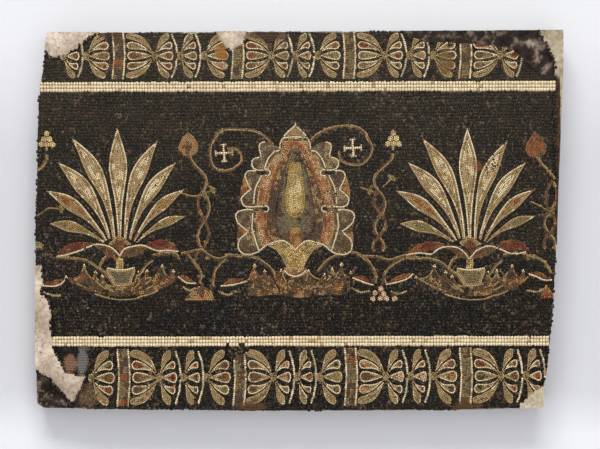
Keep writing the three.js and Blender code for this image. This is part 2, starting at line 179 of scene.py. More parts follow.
def smooth(points, closed=False):
    """A dense smooth curve through the points."""
    points = [np.asarray(p, float) for p in points]
    if closed:
        chain = [points[-1]] + points + points[:2]
    else:
        chain = [2 * points[0] - points[1]] + points + [2 * points[-1] - points[-2]]
    t = np.linspace(0, 1, 12, endpoint=False)[:, None]
    parts = []
    for a, b, c, d in zip(chain, chain[1:], chain[2:], chain[3:]):
        parts.append(0.5 * (2 * b + (c - a) * t + (2 * a - 5 * b + 4 * c - d) * t ** 2
                            + (3 * b - a - 3 * c + d) * t ** 3))
    if not closed:
        parts.append(points[-1][None])
    return np.vstack(parts)


def distance(points, ring):
    """Shortest distance from each point to a dense ring of points, in blocks that spare memory."""
    result = np.zeros(len(points))
    for k in range(0, len(points), 2000):
        gap = points[k:k + 2000, None, :] - ring[None, :, :]
        result[k:k + 2000] = np.sqrt((gap ** 2).sum(2).min(1))
    return result


def counter_clockwise(outline):
    """The outline, turned so that it runs counter-clockwise."""
    outline = np.asarray(outline, float)
    x, z = outline.T
    area = (x * np.roll(z, -1) - np.roll(x, -1) * z).sum()
    return outline if area > 0 else outline[::-1]


def moved(points, dx, dz):
    return [(x + dx, z + dz) for x, z in points]


def mirrored(half):
    """An outline from its right half, which runs from top to bottom."""
    return list(half) + [(-x, z) for x, z in reversed(half) if x > 0]


def shrink(outline, inset):
    """The outline set back by inset."""
    ring = counter_clockwise(outline)
    before = ring - np.roll(ring, 1, 0)
    after = np.roll(ring, -1, 0) - ring
    before /= np.hypot(*before.T)[:, None]
    after /= np.hypot(*after.T)[:, None]
    normal = np.column_stack([-(before + after)[:, 1], (before + after)[:, 0]])
    normal /= np.hypot(*normal.T)[:, None]
    turn = (before[:, 0] * after[:, 0] + before[:, 1] * after[:, 1])
    return ring + normal * inset / np.sqrt(np.clip((1 + turn) / 2, 0.4, 1))[:, None]


def ragged(outline, seed, size=1.2):
    """The outline with an uneven line, as plaster or a break has."""
    ring, _ = spread(outline, 2.0, closed=True)
    x, z = ring.T
    return np.column_stack([x + size * noise(x, z, 5, seed), z + size * noise(x, z, 5, seed + 1)])


# ---------- layout of the stones
# The cut stones, and the sRGB colours that blocks of each take.
STONE_COLOURS = {
    "black": [(6, 6, 7), (11, 10, 9), (18, 16, 13), (8, 8, 9), (27, 23, 19), (12, 11, 9)],
    "blue_black": [(14, 18, 25), (22, 25, 32), (17, 19, 23)],
    "green_black": [(20, 24, 17), (28, 31, 21), (17, 20, 15)],
    "brown_black": [(36, 26, 19), (48, 36, 25), (30, 22, 17), (58, 43, 30)],
    "fillet": [(226, 206, 168), (236, 217, 180), (216, 194, 154), (230, 211, 174), (208, 184, 142)],
    "cream": [(226, 204, 162), (236, 216, 176), (214, 190, 146), (230, 208, 170)],
    "grey_pale": [(178, 168, 138), (162, 152, 124), (192, 182, 152)],
    "tan": [(180, 150, 108), (164, 134, 92), (192, 164, 122), (170, 142, 100)],
    "leaf": [(158, 133, 88), (144, 119, 76), (170, 145, 100), (150, 125, 82)],
    "olive": [(124, 109, 66), (136, 120, 76), (108, 94, 56), (144, 126, 82)],
    "dark_olive": [(60, 53, 32), (74, 65, 40), (48, 43, 27), (66, 55, 32)],
    "light_ochre": [(212, 186, 124), (198, 170, 106), (224, 200, 142), (206, 180, 122)],
    "gold": [(182, 152, 90), (166, 136, 76), (196, 168, 110), (174, 144, 86)],
    "ochre": [(172, 132, 70), (156, 116, 58), (184, 148, 86), (164, 126, 74)],
    "rust": [(142, 84, 46), (156, 98, 56), (126, 72, 40), (148, 92, 56)],
    "red": [(108, 44, 29), (122, 54, 36), (92, 38, 26), (114, 54, 40)],
    "brown": [(98, 71, 47), (112, 83, 57), (82, 59, 39), (104, 79, 55)],
    "pink": [(174, 120, 74), (160, 104, 62), (184, 134, 88), (166, 113, 69)],
    "pale_pink": [(204, 164, 130), (190, 148, 112), (214, 178, 146), (196, 156, 124)],
    "grey": [(112, 98, 76), (126, 112, 88), (96, 84, 64), (116, 99, 80)],
    "purple": [(78, 62, 54), (66, 52, 46), (90, 73, 63), (70, 57, 54)],
}
STONES = list(STONE_COLOURS)
# Each mix runs from one tone to another, so that neighbours in it look alike.
MIXES = {
    "ground": {"purple": 3, "brown_black": 9, "black": 74, "blue_black": 6, "green_black": 6,
               "dark_olive": 2},
    "fillet": {"tan": 1, "fillet": 24, "cream": 3},
    "cream": {"cream": 7, "pale_pink": 1, "tan": 1},
    "line": {"cream": 1},
    "arc": {"cream": 5, "grey_pale": 6, "tan": 1},
    "leaf_low": {"leaf": 2, "tan": 6, "cream": 1},
    "leaf_body": {"leaf": 7, "tan": 3, "olive": 3},
    "leaf_light": {"cream": 4, "light_ochre": 1, "tan": 5},
    "leaf_olive": {"olive": 6, "leaf": 4, "ochre": 1},
    "leaf_rust": {"rust": 4, "ochre": 3, "pink": 2, "leaf": 1},
    "red": {"red": 6, "brown": 3, "rust": 2},
    "rust": {"red": 1, "rust": 7, "ochre": 2},
    "body_edge": {"brown": 5, "olive": 3},
    "body_pale": {"olive": 3, "leaf": 3, "tan": 3, "pale_pink": 1},
    "body_orange": {"tan": 2, "pale_pink": 2, "pink": 6, "rust": 2},
    "body_red": {"pink": 4, "rust": 5, "brown": 2},
    "dull": {"purple": 3, "brown": 6, "pink": 1, "leaf": 2},
    "bud": {"rust": 3, "ochre": 5},
    "halo": {"dark_olive": 2, "grey": 4, "olive": 4},
    "heart": {"purple": 2, "brown": 4, "grey": 5},
    "heart_dark": {"black": 2, "purple": 7, "brown": 2},
    "seed": {"leaf": 3, "gold": 4, "ochre": 3},
    "seed_light": {"gold": 4, "light_ochre": 6, "cream": 1},
    "lobe": {"purple": 1, "brown": 5, "grey": 6, "leaf": 2},
    "fringe": {"brown": 4, "rust": 2, "pink": 3, "ochre": 2},
    "calyx": {"olive": 2, "gold": 7, "light_ochre": 2, "ochre": 2},
    "foot_brown": {"dark_olive": 4, "brown": 6, "rust": 1},
    "foot_tan": {"brown": 5, "leaf": 3, "ochre": 1},
    "foot_rust": {"brown": 5, "rust": 4, "ochre": 1},
    "foot_dark": {"brown_black": 5, "purple": 2, "dark_olive": 4},
    "foot_vein": {"leaf": 3, "ochre": 1, "brown": 5},
    "foot_edge": {"leaf": 3, "ochre": 1, "rust": 1, "brown": 4},
    "red_edge": {"red": 3, "brown": 2, "rust": 4},
    "underside": {"brown": 6, "rust": 2, "dark_olive": 1},
    "stem_pale": {"leaf": 6, "tan": 3},
    "berry_rose": {"pale_pink": 1},
    "pink_tan": {"brown": 3, "pink": 3, "leaf": 3},
    "stem": {"leaf": 5, "tan": 3, "olive": 2},
    "stem_rust": {"brown": 5, "rust": 2, "leaf": 1},
    "sprig": {"olive": 4, "leaf": 2, "ochre": 2},
    "petal_root": {"leaf": 5, "tan": 3, "olive": 2},
    "petal_side": {"leaf": 5, "tan": 2, "olive": 3},
    "core_red": {"red": 3, "rust": 5, "brown": 3},
    "core_brown": {"brown": 6, "rust": 2, "olive": 2},
    "core_olive": {"dark_olive": 2, "olive": 6, "leaf": 2},
    "core_rose": {"brown": 3, "pink": 4, "pale_pink": 2},
    "band": {"purple": 3, "brown": 6, "leaf": 2, "olive": 3, "grey": 2},
    "band_line": {"tan": 2, "cream": 6, "grey_pale": 2},
    "cup": {"grey": 5, "olive": 4},
    "berry": {"light_ochre": 4, "tan": 3},
    "berry_pink": {"brown": 2, "pink": 3, "leaf": 3},
    "berry_rust": {"rust": 7, "brown": 3},
}
# The layout's grids, in millimetres: cells that find neighbours, and a finer one of whose place it is.
CELL = 4.0
PIXEL = 0.5
LEFT_EDGE, BOTTOM_EDGE = -332.0, -242.0
COLUMNS, ROWS = 1328, 968
MOST_ROWS = 99
INNERMOST = 9


def chooser(mix):
    """A mix as a function of the row, the place and the slope, if it isn't one already."""
    return mix if callable(mix) else lambda row, x, z, up: mix


def edged(edge, inner):
    """One mix for the outermost row, and another within."""
    return lambda row, x, z, up: inner if row else edge


class Layout:
    """Where each stone lies, how it is turned, how big it is, its mix and its piece."""

    def __init__(self):
        self.sites = []
        self.cells = {}
        self.owners = ["none", "field_ground", "upper_border_ground", "lower_border_ground"]
        x = LEFT_EDGE + (np.arange(COLUMNS) + 0.5) * PIXEL
        z = BOTTOM_EDGE + (np.arange(ROWS) + 0.5) * PIXEL
        self.x, self.z = np.meshgrid(x, z)
        self.map = np.zeros(self.x.shape, np.int16)

    def claim(self, name, outline, anywhere=False):
        """Gives the inside of an outline to a piece, as far as it belongs to the picture already."""
        if name not in self.owners:
            self.owners.append(name)
        outline = np.asarray(outline, float)
        low = outline.min(0) - PIXEL
        high = outline.max(0) + PIXEL
        columns = slice(max(0, int((low[0] - LEFT_EDGE) / PIXEL)), int((high[0] - LEFT_EDGE) / PIXEL) + 1)
        rows = slice(max(0, int((low[1] - BOTTOM_EDGE) / PIXEL)), int((high[1] - BOTTOM_EDGE) / PIXEL) + 1)
        part = self.map[rows, columns]
        hit = inside(outline, self.x[rows, columns], self.z[rows, columns])
        if not anywhere:
            hit &= part > 0
        part[hit] = self.owners.index(name)

    def owner(self, x, z):
        column = int((x - LEFT_EDGE) / PIXEL)
        row = int((z - BOTTOM_EDGE) / PIXEL)
        if 0 <= column < COLUMNS and 0 <= row < ROWS:
            return self.owners[self.map[row, column]]
        return "none"

    def put(self, x, z, angle, size, mix, piece, close=0.8, anywhere=False):
        """Sets one stone, unless it would crowd another or lie outside its piece's place."""
        place = self.owner(x, z)
        if place == "none" or (place != piece and not anywhere):
            return False
        column, row = int(x // CELL), int(z // CELL)
        for i in (column - 1, column, column + 1):
            for j in (row - 1, row, row + 1):
                for other_x, other_z, other_size in self.cells.get((i, j), ()):
                    reach = close * 0.5 * (size + other_size)
                    if (other_x - x) ** 2 + (other_z - z) ** 2 < reach * reach:
                        return False
        self.cells.setdefault((column, row), []).append((x, z, size))
        self.sites.append((x, z, angle, size, mix, piece))
        return True

    def row(self, points, size, mix, piece, closed=False, curved=True, anywhere=False, close=0.74):
        """A single row of stones along a curve."""
        line = smooth(points, closed) if curved else np.asarray(points, float)
        dense, along = spread(line, 0.3, closed)
        count = max(1, int(round(along[-1] / size)))
        steps = (np.arange(count) + 0.5) * along[-1] / count
        x = np.interp(steps, along, dense[:, 0])
        z = np.interp(steps, along, dense[:, 1])
        ahead_x = np.interp(steps + 0.6, along, dense[:, 0]) - np.interp(steps - 0.6, along, dense[:, 0])
        ahead_z = np.interp(steps + 0.6, along, dense[:, 1]) - np.interp(steps - 0.6, along, dense[:, 1])
        for k in range(count):
            angle = math.atan2(ahead_z[k], ahead_x[k])
            self.put(x[k], z[k], angle, size, mix, piece, close, anywhere)

    def rings(self, outline, size, mix, piece, last=MOST_ROWS, outward=False):
        """Rows that follow an outline, one inside the other. mix may be a name or a function."""
        choose = chooser(mix)
        ring, _ = spread(counter_clockwise(outline), 0.5, closed=True)
        along = np.roll(ring, -2, 0) - np.roll(ring, 2, 0)
        along /= np.hypot(*along.T)[:, None] + 1e-9
        inward = np.column_stack([-along[:, 1], along[:, 0]]) * (-1 if outward else 1)
        for k in range(last):
            depth = size * (k + 0.5)
            points = ring + inward * depth
            fits = distance(points, ring) > depth - 0.12 * size
            fits &= inside(ring, points[:, 0], points[:, 1]) != outward
            if not fits.any():
                return
            previous = None
            for i in np.flatnonzero(fits):
                point = points[i]
                if previous is not None and np.hypot(*(point - previous)) < size * 0.97:
                    continue
                angle = math.atan2(along[i, 1], along[i, 0])
                kind = choose(k, point[0], point[1], -inward[i, 1])
                if self.put(point[0], point[1], angle, size, kind, piece):
                    previous = point

    def fill(self, outline, size, mix, piece, close=0.84):
        """Stones in what is still free inside an outline."""
        choose = chooser(mix)
        outline = np.asarray(outline, float)
        low, high = outline.min(0), outline.max(0)
        step = size * 0.45
        x, z = np.meshgrid(np.arange(low[0], high[0], step), np.arange(low[1], high[1], step))
        x = (x + dice.uniform(-0.3, 0.3, x.shape) * step).ravel()
        z = (z + dice.uniform(-0.3, 0.3, z.shape) * step).ravel()
        keep = np.flatnonzero(inside(outline, x, z))
        for i in dice.permutation(keep):
            angle = dice.uniform(0, 1.5)
            self.put(x[i], z[i], angle, size, choose(INNERMOST, x[i], z[i], 0), piece, close)

    def area(self, outline, size, mix, piece):
        self.rings(outline, size, mix, piece)
        self.fill(outline, size, mix, piece)

    def inlay(self, outline, size, mix, piece):
        """Claims an outline and covers it."""
        self.claim(piece, outline)
        self.area(outline, size, mix, piece)


layout = Layout()
# Outlines that the ground follows with a row of its own: (outline, stone size, piece).
contours = []


def pick_stones(x, z, mixes):
    """The kind of each stone. A mix keeps its shares, but like stones lie together in soft patches."""
    kinds = np.zeros(len(x), int)
    spot = noise(x, z, 9, 41) + 0.6 * noise(x, z, 3.2, 43) + dice.uniform(-0.25, 0.25, len(x))
    for mix in sorted(set(mixes.tolist())):
        shares = MIXES.get(mix, {mix: 1})
        chosen = np.flatnonzero(mixes == mix)
        rank = np.empty(len(chosen))
        rank[np.argsort(spot[chosen])] = (np.arange(len(chosen)) + 0.5) / len(chosen)
        limits = np.cumsum(list(shares.values())) / sum(shares.values())
        kinds[chosen] = np.array([STONES.index(name) for name in shares])[np.searchsorted(limits, rank)]
    return kinds


# ---------- the grounds and what is lost
def claim_grounds():
    """The whole face, parted into its field and two borders, less what is plastered or lost."""
    upper = extent("upper_fillet")
    lower = extent("lower_fillet")
    inner = shrink(PANEL_EDGE, 2.6)
    layout.claim("field_ground", inner, anywhere=True)
    middle = (upper[2] + upper[3]) / 2
    layout.claim("upper_border_ground", [(-332, middle), (332, middle), (332, 242), (-332, 242)])
    middle = (lower[2] + lower[3]) / 2
    layout.claim("lower_border_ground", [(-332, -242), (332, -242), (332, middle), (-332, middle)])
    for name, (left, right, bottom, top) in (("upper_fillet", upper), ("lower_fillet", lower)):
        rise = (top - bottom) - FILLET_WIDTH
        strip = [(-332, bottom), (332, bottom + rise), (332, top), (-332, top - rise)]
        layout.claim(name, strip)
    for outline in LOSSES:
        layout.claim("none", ragged(outline, 3, 0.8))


# ---------- the borders
BORDERS = {
    "upper": {"axis": (197.2, 198.8), "fan_half": 27.4, "bands": (-217, -74.3, 60, 199.2),
              "fans": ((2, 3), (0, 1, 2, 3), (0, 1, 2, 3), (0, 1, 2, 3), (0, 1))},
    "lower": {"axis": (-189.4, -186.2), "fan_half": 33.5, "bands": (-211, -71.8, 62, 200),
              "fans": ((3,), (0, 1, 2, 3), (0, 1, 2, 3), (0, 1, 2, 3), (0, 1, 2))},
}
BAND_WIDTH = 15
BAND_BOW = 2
BAND_SPACE = 2.4
BAND_LINE = 2.2
BAND_ROWS = (-4.4, -2.6, -0.8, 1.0, 2.8, 4.5)
# Rust-coloured squares set in a band, at a share of its half height from the middle.
BAND_SQUARES = {
    "lower_band_1": (0.02, -0.86), "lower_band_3": (0.6,), "upper_band_1": (-0.3,), "upper_band_4": (0.7,),
}
SQUARE = ((-1, -1), (1, -1), (1, 1), (-1, 1))
GROUP_LENGTH = 118
FANS = ((0.272, 0), (0.272, 0.46), (0.523, 0.69), (0.757, 1))
BORDER_STONE = 1.8
LINE_STONE = 1.75
ARC_STONE = 2.3
# The dotted arc between two fans: how far right of its place, and the share of the fan's half height.
ARC = ((-5.5, -0.95), (-1, -0.5), (0.6, 0), (-1, 0.5), (-5.5, 0.95))


def bezier(a, b, c, count=17):
    """Points of the curve from a to c that is drawn towards b, and its directions."""
    a, b, c = (np.asarray(p, float) for p in (a, b, c))
    t = np.linspace(0, 1, count)[:, None]
    points = a * (1 - t) ** 2 + 2 * b * t * (1 - t) + c * t ** 2
    turns = 2 * (b - a) * (1 - t) + 2 * (c - b) * t
    return points, turns / np.hypot(*turns.T)[:, None]


# The petals of a fan: how far each end lies from the axis, and its half width, as shares of the fan.
PETALS = ((0, 0.215), (0.45, 0.185), (-0.45, 0.185), (0.86, 0.15), (-0.86, 0.15))
PETAL_GAP = 1.0
HUB_SIZE = 5.4


def petal_spine(hub, end, axis, lift, fall_back):
    """The middle line of a petal, which rises steeply from the hub and ends level, and its directions."""
    reach = end - hub
    tip = (end - fall_back * lift * lift / 900, axis + lift)
    start = (hub + reach * 0.03, axis + lift * 0.04)
    knee = (hub + reach * 0.36, axis + lift * 1.04)
    return bezier(start, knee, tip, 25)


def petal_outline(spines, number, half):
    """One petal, as wide as its neighbours allow, with a rounded end."""
    points, turns = spines[number]
    others = np.vstack([spine for k, (spine, _) in enumerate(spines) if k != number])
    t = np.linspace(0, 1, len(points))
    rounding = np.sqrt(np.clip(1 - (np.clip(t - 0.8, 0, 1) / 0.2) ** 2.4, 0, 1))
    room = distance(points, others) / 2 - PETAL_GAP / 2
    width = np.clip(np.minimum(room, half), 0.05, half) * rounding
    sides = np.column_stack([-turns[:, 1], turns[:, 0]]) * width[:, None]
    return np.vstack([points + sides, (points - sides)[::-1]])


def lay_fan(hub, end, axis, fan_half, piece):
    """Five petals from one tan hub: the two outer ones plain, the inner ones with a dark core."""
    fall_back = 8 if end > hub else 3
    spines = [petal_spine(hub, end, axis, lift * fan_half, fall_back) for lift, half in PETALS]
    outlines = [petal_outline(spines, k, half * fan_half) for k, (lift, half) in enumerate(PETALS)]
    star = [(hub + HUB_SIZE * 0.75 * math.cos(turn), axis + HUB_SIZE * math.sin(turn))
            for turn in np.linspace(0, 6, 12)]
    for outline in outlines:
        layout.claim(piece, shrink(outline[::2], -PETAL_GAP))
    layout.claim(piece, star)
    layout.area(star, BORDER_STONE, "petal_root", piece)
    for (lift, half), outline in zip(PETALS, outlines):
        outer = abs(lift) > 0.8
        core = chance.choice(("core_red", "core_red", "core_brown", "core_olive", "core_rose"))

        def choose(depth, x, z, up):
            along = (x - hub) / (end - hub)
            if depth == 0:
                return "leaf_low" if outer or along < 0.3 else "cream"
            if outer or along < 0.42:
                return "petal_root"
            return core if depth > 1 or along > 0.62 else "petal_side"

        layout.area(outline, BORDER_STONE, choose, piece)
    for outline in outlines:
        layout.rings(outline, PETAL_GAP, "black", piece, last=1, outward=True)


def lay_band(x, axis, half, piece):
    """A curved band: two pale lines, and small stones of many colours between them."""
    def bracket(offset):
        return [(x + offset - BAND_BOW / 2, axis - half), (x + offset + BAND_BOW / 2, axis),
                (x + offset - BAND_BOW / 2, axis + half)]

    outer = BAND_WIDTH / 2
    layout.claim(piece, list(smooth(bracket(-outer))) + list(smooth(bracket(outer)))[::-1])
    for offset in (BAND_LINE / 2 - outer, outer - BAND_LINE / 2):
        layout.row(bracket(offset), BAND_LINE, "band_line", piece)
    for share in BAND_SQUARES.get(piece, ()):
        square = [(x + 5 * dx, axis + share * half + 4 * dz) for dx, dz in SQUARE]
        layout.area(square, BORDER_STONE, "rust", piece)
    for offset in BAND_ROWS:
        layout.row(bracket(offset), BORDER_STONE, "band", piece)


def lay_border(name):
    """One border: groups of fans between curved bands."""
    border = BORDERS[name]
    axis, half, bands = border["axis"], border["fan_half"], border["bands"]
    beside = BAND_WIDTH / 2 + BAND_SPACE

    def axis_at(x):
        return axis[0] + (axis[1] - axis[0]) * (x + 320) / 640

    for number, x in enumerate(bands, 1):
        lay_band(x, axis_at(x), half * 1.03, "%s_band_%d" % (name, number))
    for number, kept in enumerate(border["fans"], 1):
        piece = "%s_palmettes_%d" % (name, number)
        start = bands[number - 2] + beside if number > 1 else bands[0] - beside - GROUP_LENGTH
        end = bands[number - 1] - beside if number <= len(bands) else start + GROUP_LENGTH
        for k in kept:
            hub, reach = (start + (end - start) * share for share in FANS[k])
            lay_fan(hub, reach, axis_at(hub), half, piece)
        for share in (0.485, 0.715):
            x = start + (end - start) * share
            if (share < 0.6 and 1 in kept) or (share > 0.6 and 2 in kept):
                z = axis_at(x)
                arc = [(x + dx, z + half * lift) for dx, lift in ARC]
                layout.row(arc, ARC_STONE, "arc", name + "_border_ground")


# ---------- the two fan plants
LEAF_BOW = 0.08
# How far the pale middle of a leaf runs either way, as a share of its height.
HIGHLIGHT = 0.4
LEAF_CONTOUR = 2.6
GROUND_CONTOUR = 3.2
# Width of a leaf along its length, as a share of its full width.
LEAF_PROFILE = ((0, 0.17), (0.1, 0.22), (0.19, 0.29), (0.28, 0.37), (0.37, 0.5), (0.45, 0.67), (0.54, 0.86),
                (0.63, 1), (0.72, 0.93), (0.79, 0.76), (0.89, 0.42), (0.95, 0.22), (1, 0))
CENTRE_LEAF = (0.4, 5, -2.5, 137, 22.5)
LEFT_LEAVES = ((-6.6, 4, -57, 125, 19.5), (-11.6, 4, -74, 95.5, 19), (-15.8, 2, -88, 61.5, 16.5),
               (-19, 0, -84, 22, 14))
RIGHT_LEAVES = ((7.4, 4, 46, 121.5, 18.5), (12.8, 3, 68, 95.5, 17), (17.8, 1, 78, 63, 14),
                (21, 0, 80, 31, 11.5))
PICTURE_STONE = 1.95


def leaf_outline(root_x, root_z, tip_x, tip_z, width):
    """A pointed leaf, widest past its middle, whose spine bows upwards."""
    root = np.array((root_x, root_z), float)
    tip = np.array((tip_x, tip_z), float)
    chord = tip - root
    inward = 1 if tip_x < root_x else -1
    rise = np.array((chord[1], -chord[0])) * inward * LEAF_BOW * 2
    if abs(chord[0]) < width / 2:
        rise = np.zeros(2)
    points, turns = bezier(root, (root + tip) / 2 + rise, tip, 25)
    t = np.linspace(0, 1, len(points))
    half = width / 2 * np.interp(t, *zip(*LEAF_PROFILE))
    sides = np.column_stack([-turns[:, 1], turns[:, 0]]) * half[:, None]
    return np.vstack([points + sides, (points - sides)[::-1]])


def lay_leaf(shape, rank, place):
    """rank runs from 0, the centre leaf, to 4, the lowest."""
    outline = leaf_outline(*shape) + place[0]
    piece = place[1]
    middle = place[0][1] + (shape[1] + shape[3]) / 2
    length = shape[3] - shape[1]

    def choose(depth, x, z, up):
        if rank == 4:
            return "leaf_low" if depth == 0 else "leaf_olive"
        if depth == 0:
            return "cream" if up > -0.05 or rank == 0 else "leaf_low"
        if rank == 3:
            return "leaf_body" if depth == 1 else "leaf_rust"
        if depth < 2:
            return "leaf_body"
        return "leaf_light" if abs(z - middle) < length * HIGHLIGHT else "leaf_body"

    layout.area(outline, PICTURE_STONE, choose, piece)
    contours.append((outline, LEAF_CONTOUR, "field_ground"))


PLANT_LINES = {
    "left": ([(-75.2, -17.3), (-60.2, -14.3), (-45, -9.3), (-35, -4.8), (-27.2, -2.6), (-15.2, -4.3),
              (-7.2, -8.3), (0.3, -16.3)],
             [(1.3, -16.3), (4.8, -9.3), (12.8, -5.8), (25.8, -3.8), (34.8, -6.3), (45.8, -10.3),
              (58.8, -9.8), (70.8, -11.3)]),
    "right": ([(-76, -15.4), (-61.6, -13), (-46, -14.2), (-38.8, -9.4), (-30.4, -5.8), (-17.2, -5.8),
               (-7.6, -10.6), (0, -20.2)],
              [(0.6, -20.2), (2.6, -17.3), (10, -9.4), (23.6, -4.6), (36.8, -8.2), (47.6, -13),
               (57.2, -13.7), (68, -11.8)]),
}
# The red tops of the drooping petals, and their brown undersides either side of the neck.
RED_TOPS = (
    [(-76, -16.5), (-66, -6), (-53, -0.3), (-41, 0.2), (-30, -2.4), (-42, -8), (-58, -13.5)],
    [(33, -4), (42, 1.4), (50, 3.2), (62, 0.2), (71, -10), (58, -9), (45, -9.6)],
)
UNDERSIDES = (
    [(-30, -3.4), (-18, -3.6), (-7, -8.3), (0, -16.3), (-2, -20), (-9, -19), (-15, -15.8), (-21, -11),
     (-27, -7)],
    [(34, -6), (25, -3.8), (12, -5.8), (4.8, -9.3), (1.3, -16.3), (3, -20), (10, -19), (20, -16.8),
     (29, -11)],
)
PLANT_NECK = [(-3.4, -17), (4.6, -17), (5, -31.5), (-3.6, -31.5)]
PLANT_COLLAR = [(-13, -2.5), (-8, 3), (0, 9), (8, 3), (15, -2.5), (0, -6)]
PLANT_BUD = [
    (0.3, 5.4), (5, 1.6), (8.2, -2.8), (5.4, -7.4), (1.2, -13), (-3.6, -7.4), (-7.7, -2.8), (-4.4, 1.6),
]
PLANT_CUP = [
    (-14.2, -30.8), (-6, -32), (1.8, -32.4), (10, -31.8), (18.3, -30.3), (18.8, -35.8), (15.8, -44.8),
    (12.8, -51.8), (-5.2, -52.8), (-9.2, -45.8), (-14.7, -36.8),
]
PLANT_STEMS = (
    [(-76, -19), (-58, -19), (-43, -21.3), (-33, -25.3), (-23, -32.8), (-15, -39.8), (-7.2, -51.8)],
    [(-24, -30), (-20, -22), (-15, -17)],
    [(39.8, -21.3), (31.8, -27.8), (26, -36), (22, -40)],
    [(40.8, -15.8), (54, -13.4), (66.8, -14.2), (72, -21)],
)
# The acanthus feet: outline, tips, and the point where the veins meet. Heights from the plant's
# middle for the plants, and on the panel for the lotus.
PLANT_FOOT = {
    "tips": [(-64, -41), (-42, -27.3), (-28.7, -34.8), (-20.7, -39.8), (22.8, -35.8), (33.3, -33.8),
             (51.3, -27.8), (64.8, -33.8)],
    "top": [(-65, -41), (-55, -43), (-48, -39), (-42, -27), (-38, -37), (-33, -43), (-28.7, -34.8),
            (-26.4, -43), (-23.5, -46), (-20.7, -39.6), (-17, -48), (-10, -52), (13, -52), (18, -48),
            (20, -43), (22.8, -35.6), (26, -43), (29, -43), (33.3, -33.6), (36, -42), (42, -41),
            (51.3, -27.6), (56, -38), (60, -41), (64.8, -33.6), (67.6, -41), (71, -42)],
    "sole": [(66, -48), (57, -53), (47, -57.5), (37, -60.5), (27, -62.5), (15, -64.6), (0, -65.2),
             (-15, -63.6), (-29, -60.4), (-43, -56.4), (-58, -48.4)],
    "line": [(-29, -62.4), (-18, -66), (-8, -68), (1.8, -69), (16.8, -68.4), (26.8, -65), (36.8, -62.4),
             (47, -58)],
    "root": (2, -66),
}
LOTUS_FOOT = {
    "tips": [(-48.8, -53), (-36.8, -59.8), (-16.8, -59.1), (16, -60), (35.2, -64.5), (44.5, -57.8),
             (55.8, -51.8), (66.5, -61.8)],
    "top": [(-57, -72), (-53, -62), (-48.8, -53), (-45, -62), (-41, -67), (-36.8, -59.6), (-33, -67),
            (-26, -68), (-16.8, -59), (-10, -63), (1, -69), (10, -64), (16, -60), (23, -67), (30, -70),
            (35.2, -64.4), (39, -68), (44.5, -57.6), (48, -64), (51, -62), (55.8, -51.6), (59, -64),
            (62, -68), (66.5, -61.6), (66, -72)],
    "sole": [(66, -86), (56, -90), (38, -88), (22, -91), (6, -93), (-10, -91), (-28, -89), (-44, -91),
             (-55, -90), (-57, -84)],
    "line": [(-26, -67), (-24, -74), (-20, -81), (-18, -86)],
    "root": (3, -90),
}
FOOT_PATCHES = (("foot_dark", -0.42), ("foot_brown", -0.02), ("foot_tan", 0.4), ("foot_rust", 0.9))


def patch_mix(x, z, patches, cell, seed):
    """One of several mixes, in soft patches: each serves up to its own level of the noise."""
    level = float(noise(x, z, cell, seed)) + 0.5 * float(noise(x, z, cell / 3, seed + 1))
    for mix, top in patches:
        if level < top:
            return mix
    return patches[-1][0]


def lay_acanthus(foot, centre, piece, line_mix):
    """A jagged leaf base: veins run from its root to each pale tip, with patches of colour between."""
    outline = moved(foot["top"] + foot["sole"], *centre)
    layout.claim(piece, outline)
    layout.row(moved(foot["line"], *centre), LINE_STONE, line_mix, "vines", anywhere=True)
    root_x, root_z = foot["root"]
    for tip_x, tip_z in foot["tips"]:
        knee = (root_x + (tip_x - root_x) * 0.72, root_z + (tip_z - root_z) * 0.34)
        points, _ = bezier((root_x, root_z), knee, (tip_x, tip_z), 11)
        points = points[3:] + np.array(centre)
        for dx, dz, mix in ((0, 0, "cream"), (-1.1, -1.8, "leaf_low"), (1.1, -1.8, "leaf_low")):
            layout.put(points[-1][0] + dx, points[-1][1] + dz, 0.8, 1.9, mix, piece, anywhere=True)
        layout.row(points, PICTURE_STONE, "foot_vein", piece, curved=False)

    def choose(depth, x, z, up):
        if depth == 0 and up > 0.2:
            return "foot_edge"
        return patch_mix(x, z, FOOT_PATCHES, 11, 31)

    layout.area(outline, PICTURE_STONE, choose, piece)
    contours.append((outline, GROUND_CONTOUR, "field_ground"))


def bud_mix(depth, x, z, up):
    return "rust" if depth == 0 and up > 0 else "red"


def cup_mix(depth, x, z, up):
    if depth == 0:
        return "line" if up > 0.5 else "tan"
    return "leaf_body" if depth == 1 else "cup"


